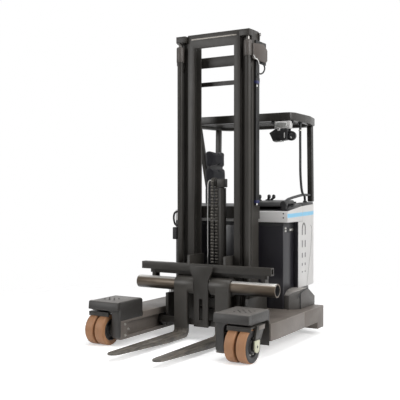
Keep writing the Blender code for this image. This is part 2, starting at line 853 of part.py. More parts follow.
def drive_housing():
    """The shell round the drive wheel, whose top is the driver's floor."""
    def outline(inset, front_y):
        half = [
            (BODY_HALF_WIDTH - 2 * SEAT - inset, front_y),
            (BODY_HALF_WIDTH - 2 * SEAT - inset, TAPER_START_Y),
            (TAPER_HALF_WIDTH - inset, TAPER_END_Y),
            (REAR_HALF_WIDTH - inset, REAR_END_Y - inset),
        ]
        return half + [(-x, y) for x, y in half[::-1]]

    shell = prism(outline(0, BASE_REAR_Y + SEAT), "Z", HOUSING_BOTTOM, FLOOR_TOP)
    hollow = prism(
        outline(HOUSING_WALL, BASE_REAR_Y + HOUSING_WALL),
        "Z",
        HOUSING_BOTTOM - RUN,
        FLOOR_TOP - FLOOR_THICKNESS,
    )
    floor = block(
        (-BODY_HALF_WIDTH + RUN, BODY_HALF_WIDTH - RUN),
        (BATTERY_REAR_Y + SEAT, BASE_REAR_Y + HOUSING_WALL),
        (BASE_TOP + SEAT, FLOOR_TOP),
    )
    boss = disc(
        (0, DRIVE_Y, 0), "Z", DRIVE_FLANGE_RADIUS + 0.020, DRIVE_FLANGE_TOP, FLOOR_TOP - 0.002
    )
    return fused(cut(shell, hollow), floor, boss)


def control_console():
    """The lever console on the hood, at the driver's right hand."""
    left = 0.560
    right = 0.240
    front_y = BATTERY_FRONT_Y + 0.040
    rear_y = BATTERY_REAR_Y
    outline = [
        (front_y, HOOD_FRONT_TOP + 0.040),
        (front_y + 0.020, HOOD_FRONT_TOP + 0.075),
        (front_y + 0.060, HOOD_FRONT_TOP + 0.090),
        (rear_y - 0.030, HOOD_REAR_TOP + 0.048),
        (rear_y, HOOD_REAR_TOP + 0.030),
        (rear_y, HOOD_REAR_TOP + SEAT),
        (BATTERY_FRONT_Y + 0.160, HOOD_FRONT_TOP + 0.035 + SEAT),
    ]
    base = prism(outline, "X", right, left)
    levers = []
    for index in range(4):
        lever_x = right + 0.060 + index * 0.065
        foot = (lever_x, front_y + 0.120, HOOD_FRONT_TOP + 0.080)
        knob = (lever_x, front_y + 0.100, HOOD_FRONT_TOP + 0.150)
        levers.append(bar(foot, knob, 0.006, 10))
        levers.append(
            turned(
                [(0, -0.020), (0.010, -0.018), (0.016, 0), (0.012, 0.016), (0, 0.020)],
                knob,
                "Z",
                12,
            )
        )
    return fused(base, *levers)


def steering_console():
    """The driver's left-hand console with the steering disc, inside the left wall."""
    x = BODY_HALF_WIDTH - PANEL_THICKNESS - 2 * SEAT
    wall = body_side_line(PANEL_THICKNESS + 2 * SEAT)[:3]
    rear_y = wall[-1][1]
    base = prism(
        [*wall, (x - 0.200, rear_y), (x - 0.200, BATTERY_REAR_Y + SEAT)],
        "Z",
        FLOOR_TOP + SEAT,
        1.200,
    )
    hub = (x - 0.110, TAPER_START_Y + 0.020, 0)
    column = disc(hub, "Z", 0.022, 1.190, 1.260)
    wheel = disc(hub, "Z", 0.085, 1.250, 1.275, ROUND_FINE)
    knob = disc((hub[0], hub[1] + 0.060, 0), "Z", 0.016, 1.270, 1.310, ROUND_SMALL)
    return fused(base, column, wheel, knob)


def seat_base():
    return block(
        (SEAT_BACK_X + 0.040, SEAT_BACK_X + CUSHION_LENGTH - 0.040),
        (SEAT_Y - 0.160, SEAT_Y + 0.160),
        (FLOOR_TOP + SEAT, CUSHION_BOTTOM - SEAT),
    )


def seat_cushion():
    cushion = block(
        (SEAT_BACK_X + SEAT, SEAT_BACK_X + CUSHION_LENGTH),
        (SEAT_Y - SEAT_WIDTH / 2, SEAT_Y + SEAT_WIDTH / 2),
        (CUSHION_BOTTOM, CUSHION_BOTTOM + CUSHION_THICKNESS),
    )
    return rounded(cushion, 0.030, 2)


def seat_back():
    """The backrest with the headrest on its two posts."""
    half = SEAT_WIDTH / 2
    head_half = HEADREST_WIDTH / 2
    back = prism(
        [
            (SEAT_Y - half, CUSHION_BOTTOM - 0.020),
            (SEAT_Y + half, CUSHION_BOTTOM - 0.020),
            (SEAT_Y + half, BACK_TOP - 0.160),
            (SEAT_Y + head_half, BACK_TOP),
            (SEAT_Y - head_half, BACK_TOP),
            (SEAT_Y - half, BACK_TOP - 0.160),
        ],
        "X",
        SEAT_BACK_X - BACK_THICKNESS,
        SEAT_BACK_X - SEAT,
    )
    back = rounded(back, 0.025, 2)
    head_x = SEAT_BACK_X - BACK_THICKNESS / 2
    head = block(
        (head_x - HEADREST_THICKNESS / 2, head_x + HEADREST_THICKNESS / 2),
        (SEAT_Y - head_half, SEAT_Y + head_half),
        (BACK_TOP + 0.030, HEADREST_TOP),
    )
    head = rounded(head, 0.025, 2)
    posts = []
    for side in (LEFT, RIGHT):
        post_y = SEAT_Y + side * 0.070
        posts.append(bar((head_x, post_y, BACK_TOP - 0.03), (head_x, post_y, BACK_TOP + 0.06), 0.007))
    return fused(back, head, *posts)


def guard_outline(inset):
    half = [
        (GUARD_HALF_WIDTH - inset, GUARD_FRONT_Y + inset),
        (GUARD_HALF_WIDTH - inset, GUARD_TAPER_Y),
        (GUARD_REAR_HALF_WIDTH - inset, GUARD_REAR_Y - 0.080),
        (GUARD_REAR_HALF_WIDTH - 0.080 - inset * 0.5, GUARD_REAR_Y - inset),
    ]
    return half + [(-x, y) for x, y in half[::-1]]


def guard_frame():
    """The roof of the overhead guard: a closed beam with bars across it."""
    bottom = GUARD_TOP - GUARD_DEPTH
    frame = prism(guard_outline(0), "Z", bottom, GUARD_TOP)
    hole = prism(guard_outline(GUARD_BEAM), "Z", bottom - RUN, GUARD_TOP + RUN)
    front = block(
        (-GUARD_HALF_WIDTH + 0.01, GUARD_HALF_WIDTH - 0.01),
        (GUARD_FRONT_Y, GUARD_FRONT_Y + GUARD_BEAM),
        (GUARD_TOP - GUARD_FRONT_DEPTH, GUARD_TOP - RUN),
    )
    bars = []
    inner_front = GUARD_FRONT_Y + GUARD_BEAM
    pitch = (GUARD_REAR_Y - GUARD_BEAM - inner_front) / (GUARD_BARS + 1)
    for index in range(GUARD_BARS):
        bar_y = inner_front + pitch * (index + 1)
        narrowing = max(0.0, (bar_y - GUARD_TAPER_Y) / (GUARD_REAR_Y - 0.080 - GUARD_TAPER_Y))
        half = GUARD_HALF_WIDTH - narrowing * (GUARD_HALF_WIDTH - GUARD_REAR_HALF_WIDTH)
        half -= GUARD_BEAM / 2
        if index == GUARD_BARS - 1:
            half -= 0.020
        bars.append(
            block(
                (-half, half),
                (bar_y - GUARD_BAR_WIDTH / 2, bar_y + GUARD_BAR_WIDTH / 2),
                (GUARD_TOP - 0.004 - GUARD_BAR_DEPTH, GUARD_TOP - 0.004),
            )
        )
    return fused(cut(frame, hole), front, *bars)


def slanted_post(foot, head, long_side, wide_side):
    """A flat-sided post between two heights, its section measured along Y and X."""
    builder = bmesh.new()
    rings = []
    for x, y, z in (foot, head):
        corners = []
        for dx, dy in ((-1, -1), (1, -1), (1, 1), (-1, 1)):
            corners.append(builder.verts.new((x + dx * wide_side / 2, y + dy * long_side / 2, z)))
        rings.append(corners)
    builder.faces.new(rings[0][::-1])
    builder.faces.new(rings[1])
    for step in range(4):
        after = (step + 1) % 4
        builder.faces.new((rings[0][step], rings[0][after], rings[1][after], rings[1][step]))
    return rounded(raw(builder), 0.010, 2)


def guard_pillar_left():
    top = GUARD_TOP - GUARD_DEPTH - SEAT
    return slanted_post(
        (TAPER_HALF_WIDTH - 0.010, TAPER_END_Y - 0.070, PANEL_REAR_TOP + SEAT),
        (GUARD_REAR_HALF_WIDTH - 0.012, TAPER_END_Y - 0.010, top),
        PILLAR_LONG,
        PILLAR_WIDE,
    )


def guard_pillar_right():
    """Two limbs behind the seat, which spread from one foot to the guard's side beam."""
    top = GUARD_TOP - GUARD_DEPTH - SEAT
    foot_z = RIGHT_WALL_TOP + SEAT
    rear = slanted_post(
        (-TAPER_HALF_WIDTH + 0.008, TAPER_END_Y - 0.070, foot_z),
        (-GUARD_REAR_HALF_WIDTH + 0.012, TAPER_END_Y - 0.010, top),
        PILLAR_LONG,
        PILLAR_WIDE,
    )
    front = slanted_post(
        (-TAPER_HALF_WIDTH + 0.008, TAPER_END_Y - 0.080, foot_z + 0.002),
        (-GUARD_HALF_WIDTH + 0.040, GUARD_TAPER_Y - 0.060, top),
        PILLAR_LONG * 0.8,
        PILLAR_WIDE * 0.9,
    )
    return fused(rear, front)


def guard_post(x):
    foot_z = HOOD_FRONT_TOP + 0.035 + 0.012
    return rounded(
        block(
            (x - 0.030, x + 0.030),
            (POST_FRONT_Y, POST_FRONT_Y + 0.040),
            (foot_z, GUARD_TOP - GUARD_FRONT_DEPTH - SEAT),
        ),
        0.006,
        2,
    )


def hand_rail():
    """The grab tube from the guard down to the left wall, where it bends forwards into an arch."""
    x = BODY_HALF_WIDTH - 0.012
    top = GUARD_TOP - GUARD_DEPTH - SEAT
    foot_z = PANEL_REAR_TOP - 0.004 + SEAT
    foot_x = x - 0.026
    tube = bent_tube(
        [
            (x - 0.010, 1.500, top - 0.008),
            (x - 0.008, 1.515, 1.850),
            (x - 0.004, 1.555, 1.480),
            (x - 0.006, 1.600, 1.400),
            (x - 0.014, 1.670, 1.372),
            (foot_x, 1.705, 1.350),
            (foot_x, 1.710, foot_z + 0.008),
        ],
        HAND_TUBE_RADIUS,
    )
    foot = disc((foot_x, 1.710, 0), "Z", 0.012, foot_z, foot_z + 0.016, ROUND_SMALL)
    flange = disc((x - 0.010, 1.500, 0), "Z", 0.024, top - 0.010, top, ROUND_SMALL)
    return fused(tube, foot, flange)


def work_lamps():
    """Two lamps and a round lamp on a bracket under the guard's left front corner."""
    top = GUARD_TOP - GUARD_FRONT_DEPTH - SEAT
    y = GUARD_FRONT_Y + 0.030
    bracket = block((0.420, 0.600), (y - 0.010, y + 0.010), (top - 0.030, top))
    upper = block((0.440, 0.590), (y - 0.045, y + 0.012), (top - 0.070, top - 0.022))
    lower = block((0.400, 0.520), (y - 0.050, y + 0.012), (top - 0.150, top - 0.060))
    round_lamp = disc((0.575, y - 0.010, top - 0.100), "Y", 0.032, -0.020, 0.024)
    stem = block((0.565, 0.585), (y - 0.008, y + 0.008), (top - 0.090, top - 0.060))
    return fused(bracket, rounded(upper, 0.008, 2), rounded(lower, 0.010, 2), round_lamp, stem)


def channel(side, outer_x, flange, front_y, depth, bottom):
    """One upright, a channel that opens towards the middle of the mast."""
    whole = block(
        (side * outer_x, side * (outer_x - flange)), (front_y, front_y + depth), (bottom, MAST_TOP)
    )
    groove = block(
        (side * (outer_x - CHANNEL_WEB), side * (outer_x - flange - RUN)),
        (front_y + CHANNEL_FLANGE, front_y + depth - CHANNEL_FLANGE),
        (bottom - RUN, MAST_TOP + RUN),
    )
    return cut(whole, groove)


def stage_roller(side, start_x, end_x, centre_y, z):
    """A roller on a stage's outer side, which runs in the next stage's channel."""
    radius = NESTED_DEPTH / 2 - CHANNEL_FLANGE - SEAT
    edges = sorted((side * start_x, side * end_x))
    return disc((0, centre_y, z), "X", radius, *edges)


def inner_mast():
    parts = []
    roller_y = MIDDLE_FRONT_Y + NESTED_DEPTH / 2
    for side in (LEFT, RIGHT):
        parts.append(
            channel(side, INNER_OUTER_X, INNER_FLANGE, INNER_FRONT_Y, INNER_DEPTH, INNER_BOTTOM)
        )
        parts.append(
            stage_roller(
                side,
                INNER_OUTER_X - 0.004,
                MIDDLE_OUTER_X - CHANNEL_WEB - RUN,
                roller_y,
                INNER_BOTTOM + 0.080,
            )
        )
    width = (-INNER_OUTER_X + 0.004, INNER_OUTER_X - 0.004)
    parts.append(
        block(
            width,
            (INNER_FRONT_Y, INNER_FRONT_Y + 0.037),
            (INNER_TIE_BOTTOM, MAST_TOP),
        )
    )
    rear_y = INNER_FRONT_Y + INNER_DEPTH
    parts.append(
        block(width, (FREE_LIFT_Y - FREE_BARREL_RADIUS, rear_y), (INNER_BOTTOM, SILL_TOP))
    )
    return fused(parts[0], *parts[1:])


def middle_mast():
    parts = []
    roller_y = OUTER_FRONT_Y + NESTED_DEPTH / 2
    for side in (LEFT, RIGHT):
        parts.append(
            channel(
                side, MIDDLE_OUTER_X, NESTED_FLANGE, MIDDLE_FRONT_Y, NESTED_DEPTH, MIDDLE_BOTTOM
            )
        )
        parts.append(
            stage_roller(
                side,
                MIDDLE_OUTER_X - 0.004,
                OUTER_OUTER_X - CHANNEL_WEB - RUN,
                roller_y,
                MIDDLE_BOTTOM + 0.080,
            )
        )
        bracket_x = sorted((side * (LIFT_CYLINDER_X + 0.030), side * (MIDDLE_OUTER_X - 0.040)))
        parts.append(
            block(
                bracket_x,
                (LIFT_CYLINDER_Y - 0.030, MIDDLE_FRONT_Y - 0.003),
                (ROD_BRACKET_BOTTOM, MAST_TOP - 0.010),
            )
        )
        parts.append(
            block(
                sorted((side * (MIDDLE_OUTER_X - 0.002), side * (MIDDLE_OUTER_X - 0.040))),
                (LIFT_CYLINDER_Y, MIDDLE_FRONT_Y + CHANNEL_FLANGE / 2),
                (ROD_BRACKET_BOTTOM + 0.002, MAST_TOP - 0.012),
            )
        )
    rear_y = MIDDLE_FRONT_Y + NESTED_DEPTH
    width = (-MIDDLE_OUTER_X + 2 * SET_IN, MIDDLE_OUTER_X - 2 * SET_IN)
    parts.append(
        block(
            width,
            (INNER_FRONT_Y + INNER_DEPTH + RUN + SET_IN, rear_y - RUN),
            (MIDDLE_TIE_BOTTOM, MIDDLE_TIE_BOTTOM + MIDDLE_TIE_HEIGHT),
        )
    )
    parts.append(
        block(
            width,
            (rear_y - CHANNEL_FLANGE + SET_IN, rear_y - SET_IN),
            (MIDDLE_PLATE_BOTTOM, MIDDLE_PLATE_BOTTOM + MIDDLE_PLATE_HEIGHT),
        )
    )
    return fused(parts[0], *parts[1:])


def outer_mast():
    parts = []
    for side in (LEFT, RIGHT):
        parts.append(
            channel(side, OUTER_OUTER_X, NESTED_FLANGE, OUTER_FRONT_Y, NESTED_DEPTH, OUTER_BOTTOM)
        )
        foot_x = sorted((side * (LIFT_CYLINDER_X - 0.026), side * (LIFT_CYLINDER_X + 0.034)))
        parts.append(
            block(
                foot_x,
                (LIFT_CYLINDER_Y - 0.036, OUTER_FRONT_Y + CHANNEL_FLANGE / 2),
                (OUTER_BOTTOM, LIFT_FOOT_TOP - SEAT),
            )
        )
        clamp_x = sorted((side * (OUTER_OUTER_X - 0.002), side * (OUTER_OUTER_X - 0.032)))
        parts.append(
            block(
                clamp_x,
                (LIFT_CYLINDER_Y + LIFT_BARREL_RADIUS + SEAT, OUTER_FRONT_Y + 0.002),
                (2.600, 2.640),
            )
        )
    rear_y = OUTER_FRONT_Y + NESTED_DEPTH
    width = (-OUTER_OUTER_X, OUTER_OUTER_X)
    for bottom, height in (
        (OUTER_TIE_BOTTOM, OUTER_TIE_HEIGHT),
        (1.150, 0.120),
        (OUTER_BOTTOM + 0.100, 0.180),
    ):
        parts.append(
            block(width, (rear_y, rear_y + TIE_THICKNESS), (bottom, bottom + height))
        )
    return fused(parts[0], *parts[1:])


def reach_carriage():
    """Side plates beside the mast's foot, tied behind and below it, with rollers in the arms' tracks."""
    parts = []
    plate_outer = REACH_PLATE_X + REACH_PLATE_THICKNESS
    roller_inner = ARM_INNER_X + RUN
    roller_outer = ARM_INNER_X + TRACK_DEPTH - RUN
    for side in (LEFT, RIGHT):
        parts.append(
            block(
                (side * REACH_PLATE_X, side * plate_outer),
                (REACH_FRONT_Y, REACH_REAR_Y),
                (REACH_BOTTOM, REACH_TOP),
            )
        )
        parts.append(
            block(
                (side * (OUTER_OUTER_X + SEAT), side * (REACH_PLATE_X + 0.002)),
                (0.880, 0.995),
                (REACH_BOTTOM + 3 * SET_IN, REACH_TOP - 0.010),
            )
        )
        for roller_y in (REACH_ROLLER_FRONT_Y, REACH_ROLLER_REAR_Y):
            profile = [
                (0, side * (plate_outer - 0.004)),
                (REACH_SHAFT_RADIUS, side * (plate_outer - 0.004)),
                (REACH_SHAFT_RADIUS, side * roller_inner),
                (REACH_ROLLER_RADIUS, side * roller_inner),
                (REACH_ROLLER_RADIUS, side * roller_outer),
                (0, side * roller_outer),
            ]
            parts.append(turned(profile, (0, roller_y, REACH_ROLLER_Z), "X"))
    width = (-plate_outer + 0.002, plate_outer - 0.002)
    rear_tie_y = OUTER_FRONT_Y + NESTED_DEPTH + TIE_THICKNESS + SEAT
    parts.append(
        block(width, (rear_tie_y, REACH_REAR_Y - SET_IN), (REACH_BOTTOM + SET_IN, REACH_TOP - SET_IN))
    )
    parts.append(
        block(
            (width[0] + SET_IN, width[1] - SET_IN),
            (0.840, REACH_REAR_Y - 2 * SET_IN),
            (REACH_BOTTOM + 2 * SET_IN, OUTER_BOTTOM - SEAT),
        )
    )
    return fused(parts[0], *parts[1:])


def lift_cylinder():
    """The left lift cylinder, open at the top for its rod."""
    profile = [
        (0, LIFT_FOOT_TOP),
        (LIFT_BARREL_RADIUS, LIFT_FOOT_TOP),
        (LIFT_BARREL_RADIUS, LIFT_HEAD_BOTTOM),
        (LIFT_HEAD_RADIUS, LIFT_HEAD_BOTTOM + 0.006),
        (LIFT_HEAD_RADIUS, LIFT_HEAD_TOP - 0.006),
        (LIFT_HEAD_RADIUS - 0.006, LIFT_HEAD_TOP),
        (bore_for(LIFT_ROD_RADIUS), LIFT_HEAD_TOP),
        (bore_for(LIFT_ROD_RADIUS), LIFT_FOOT_TOP + 0.040),
        (0, LIFT_FOOT_TOP + 0.040),
    ]
    return turned(profile, (LIFT_CYLINDER_X, LIFT_CYLINDER_Y, 0), "Z")


def lift_rod():
    return disc(
        (LIFT_CYLINDER_X, LIFT_CYLINDER_Y, 0),
        "Z",
        LIFT_ROD_RADIUS,
        LIFT_ROD_BOTTOM,
        ROD_BRACKET_BOTTOM - SEAT,
    )


def free_lift_cylinder():
    profile = [
        (0, SILL_TOP + SEAT),
        (FREE_BARREL_RADIUS, SILL_TOP + SEAT),
        (FREE_BARREL_RADIUS, FREE_BARREL_TOP),
        (bore_for(FREE_ROD_RADIUS), FREE_BARREL_TOP),
        (bore_for(FREE_ROD_RADIUS), SILL_TOP + 0.040),
        (0, SILL_TOP + 0.040),
    ]
    return turned(profile, (FREE_LIFT_X, FREE_LIFT_Y, 0), "Z")


def free_lift_head():
    """The free-lift rod with its crosshead and the chain pulley beside it."""
    rod = disc(
        (FREE_LIFT_X, FREE_LIFT_Y, 0), "Z", FREE_ROD_RADIUS, FREE_ROD_BOTTOM, FREE_BARREL_TOP + 0.020
    )
    cap = block(
        (0.002, FREE_LIFT_X + 0.042),
        (FREE_LIFT_Y - 0.038, FREE_LIFT_Y + 0.036),
        (FREE_BARREL_TOP + 0.006, PULLEY_Z + 0.034),
    )
    half = CHAIN_WIDTH / 2
    pulley = disc((PULLEY_X, PULLEY_Y, PULLEY_Z), "X", PULLEY_RADIUS, -half, half)
    axle = disc((PULLEY_X, PULLEY_Y, PULLEY_Z), "X", 0.012, -half - 0.010, half + 0.030, 12)
    return fused(rounded(cap, 0.006, 2), rod, pulley, axle)


def lift_chain():
    """The chain over the pulley: its front strand carries the forks, its rear end is held by the sill."""
    inner = PULLEY_RADIUS + SEAT * 2
    outer = inner + CHAIN_THICKNESS
    outline = [
        (PULLEY_Y + inner, CHAIN_REAR_BOTTOM),
        (PULLEY_Y + outer, CHAIN_REAR_BOTTOM),
        *arc((PULLEY_Y, PULLEY_Z), outer, 0, 180, 12),
        (PULLEY_Y - outer, CHAIN_FRONT_BOTTOM),
        (PULLEY_Y - inner, CHAIN_FRONT_BOTTOM),
        *arc((PULLEY_Y, PULLEY_Z), inner, 180, 0, 12),
    ]
    half = CHAIN_WIDTH / 2
    return prism(outline, "X", PULLEY_X - half, PULLEY_X + half)


def hose_run():
    """The hose duct on the mast's left side, with a guard plate at its top."""
    inner = OUTER_OUTER_X + SEAT
    duct = block(
        (inner, inner + HOSE_THICKNESS), (HOSE_FRONT_Y, HOSE_REAR_Y), (HOSE_BOTTOM, HOSE_COVER_BOTTOM + 0.01)
    )
    duct = rounded(duct, 0.008, 2)
    plate = block(
        (inner, inner + 0.014),
        (HOSE_COVER_FRONT_Y, HOSE_COVER_REAR_Y),
        (HOSE_COVER_BOTTOM, HOSE_COVER_TOP),
    )
    return fused(plate, duct)


def fork_carriage():
    """The carriage in the inner mast, with the cross beam in front and the saddles of the fork shaft."""
    parts = []
    plate_outer = CARRIAGE_PLATE_X + CARRIAGE_PLATE_THICKNESS
    beam_rear = BEAM_FRONT_Y + BEAM_DEPTH
    roller_radius = INNER_DEPTH / 2 - CHANNEL_FLANGE - SEAT
    roller_y = INNER_FRONT_Y + INNER_DEPTH / 2
    plate_front_y = beam_rear - 0.002
    plate_rear_y = INNER_FRONT_Y + INNER_DEPTH - 0.020
    hub_room = FORK_HUB_RADIUS + RUN
    for side in (LEFT, RIGHT):
        plate = prism(
            [
                (plate_rear_y, CARRIAGE_PLATE_BOTTOM),
                (plate_rear_y, CARRIAGE_PLATE_TOP),
                (plate_front_y, CARRIAGE_PLATE_TOP),
                (plate_front_y, SHAFT_Z + hub_room),
                (SHAFT_Y + hub_room, SHAFT_Z + hub_room),
                (SHAFT_Y + hub_room, CARRIAGE_PLATE_BOTTOM),
            ],
            "X",
            *sorted((side * CARRIAGE_PLATE_X, side * plate_outer)),
        )
        parts.append(plate)
        for z in (CARRIAGE_ROLLER_LOW_Z, CARRIAGE_ROLLER_HIGH_Z):
            edges = sorted((side * (plate_outer - 0.004), side * (INNER_OUTER_X - CHANNEL_WEB - RUN)))
            parts.append(disc((0, roller_y, z), "X", roller_radius, *edges))
        saddle = block(
            (side * SADDLE_X, side * (SADDLE_X - SADDLE_THICKNESS)),
            (SHAFT_Y + 0.020, SADDLE_REAR_Y),
            (SHAFT_Z - 0.060, BACK_BAR_TOP - 0.004),
        )
        parts.append(saddle)
    beam = block((-BEAM_HALF_WIDTH, BEAM_HALF_WIDTH), (BEAM_FRONT_Y, beam_rear), (BEAM_BOTTOM, BEAM_TOP))
    hollow = block(
        (-BEAM_HALF_WIDTH - RUN, BEAM_HALF_WIDTH + RUN),
        (BEAM_FRONT_Y + BEAM_WALL, beam_rear - BEAM_WALL),
        (BEAM_BOTTOM + BEAM_WALL, BEAM_TOP - BEAM_WALL),
    )
    parts.append(
        block(
            (-BACK_BAR_HALF_WIDTH, BACK_BAR_HALF_WIDTH),
            (beam_rear - 0.003, BACK_BAR_REAR_Y),
            (BACK_BAR_BOTTOM, BACK_BAR_TOP),
        )
    )
    chain_front = PULLEY_Y - PULLEY_RADIUS - SEAT * 2 - CHAIN_THICKNESS
    parts.append(
        block(
            (-CARRIAGE_PLATE_X - 0.002, CARRIAGE_PLATE_X + 0.002),
            (chain_front - 0.042, chain_front - SEAT),
            (CARRIAGE_PLATE_BOTTOM + 0.010, CHAIN_FRONT_BOTTOM + 0.030),
        )
    )
    whole = fused(cut(beam, hollow), *parts)
    shaft_space = disc(
        (0, SHAFT_Y, SHAFT_Z), "X", SHAFT_RADIUS + SEAT, -SHAFT_HALF_LENGTH, SHAFT_HALF_LENGTH, ROUND_FINE
    )
    return cut(whole, shaft_space)


def fork_shaft():
    return ring(
        (0, SHAFT_Y, SHAFT_Z),
        "X",
        SHAFT_RADIUS,
        SHAFT_RADIUS - SHAFT_WALL,
        -SHAFT_HALF_LENGTH,
        SHAFT_HALF_LENGTH,
        ROUND_FINE,
    )


def tilt_frame():
    """The centre plate in front of the shaft, with two legs down to the bar behind the fork heels."""
    front_y = SHAFT_Y - SHAFT_RADIUS - SEAT - CENTRE_PLATE_THICKNESS
    top_half = CENTRE_PLATE_TOP_HALF_WIDTH
    half = CENTRE_PLATE_HALF_WIDTH
    neck_z = SHAFT_Z + 0.055
    plate = prism(
        [
            (-half, CENTRE_PLATE_BOTTOM),
            (half, CENTRE_PLATE_BOTTOM),
            (half, neck_z),
            (top_half, CENTRE_PLATE_TOP - 0.030),
            (top_half, CENTRE_PLATE_TOP),
            (-top_half, CENTRE_PLATE_TOP),
            (-top_half, CENTRE_PLATE_TOP - 0.030),
            (-half, neck_z),
        ],
        "Y",
        front_y,
        front_y + CENTRE_PLATE_THICKNESS,
    )
    slot = block(
        (-0.020, 0.020), (front_y - RUN, front_y + CENTRE_PLATE_THICKNESS + RUN), (0.200, 0.400)
    )
    bar_y = FORK_FRONT_Y + FORK_THICKNESS + 0.003
    heel_bar = block(
        (-HEEL_BAR_HALF_WIDTH, HEEL_BAR_HALF_WIDTH),
        (bar_y, bar_y + HEEL_BAR_THICKNESS),
        (HEEL_BAR_BOTTOM, HEEL_BAR_TOP),
    )
    web = block(
        (-half + 0.004, half - 0.004),
        (front_y + 0.004, bar_y + 0.004),
        (HEEL_BAR_BOTTOM, HEEL_BAR_TOP - 0.004),
    )
    return fused(cut(plate, slot), heel_bar, web)


def fork():
    """The left fork: a hub on the shaft, a shank down from it and a tapering blade."""
    rear_y = FORK_FRONT_Y + FORK_THICKNESS
    bottom = FORK_TOP - FORK_THICKNESS
    outline = [
        (rear_y, SHAFT_Z - 0.040),
        (FORK_FRONT_Y, SHAFT_Z),
        *arc(
            (FORK_FRONT_Y - FORK_HEEL_ROUND * 0.4, FORK_TOP + FORK_HEEL_ROUND * 0.4),
            FORK_HEEL_ROUND * 0.4,
            0,
            -90,
            4,
        ),
        (FORK_TIP_Y, FORK_TOP),
        (FORK_TIP_Y, FORK_TOP - FORK_TIP_THICKNESS),
        (FORK_FRONT_Y - 0.300, bottom),
        *arc(
            (rear_y - FORK_HEEL_ROUND, bottom + FORK_HEEL_ROUND), FORK_HEEL_ROUND, -90, 0, 5
        ),
    ]
    arm = prism(outline, "X", FORK_INNER_X, FORK_OUTER_X)
    width = FORK_OUTER_X - FORK_INNER_X
    middle_x = (FORK_OUTER_X + FORK_INNER_X) / 2
    nose = prism(
        [
            (FORK_INNER_X - RUN, 1.0),
            (FORK_INNER_X - RUN, FORK_TIP_Y + 0.110),
            *[
                (x, y)
                for x, y in arc((middle_x, FORK_TIP_Y + width / 2), width / 2, 200, 340, 8)
            ],
            (FORK_OUTER_X + RUN, FORK_TIP_Y + 0.110),
            (FORK_OUTER_X + RUN, 1.0),
        ],
        "Z",
        -0.1,
        0.8,
    )
    hub = disc(
        (0, SHAFT_Y, SHAFT_Z), "X", FORK_HUB_RADIUS, FORK_HUB_INNER_X, FORK_OUTER_X + 0.002, ROUND_FINE
    )
    bore = disc(
        (0, SHAFT_Y, SHAFT_Z),
        "X",
        SHAFT_RADIUS + 2 * SEAT,
        FORK_HUB_INNER_X - RUN,
        FORK_OUTER_X + 2 * RUN,
        ROUND_FINE,
    )
    return cut(fused(common(arm, nose), hub), bore)


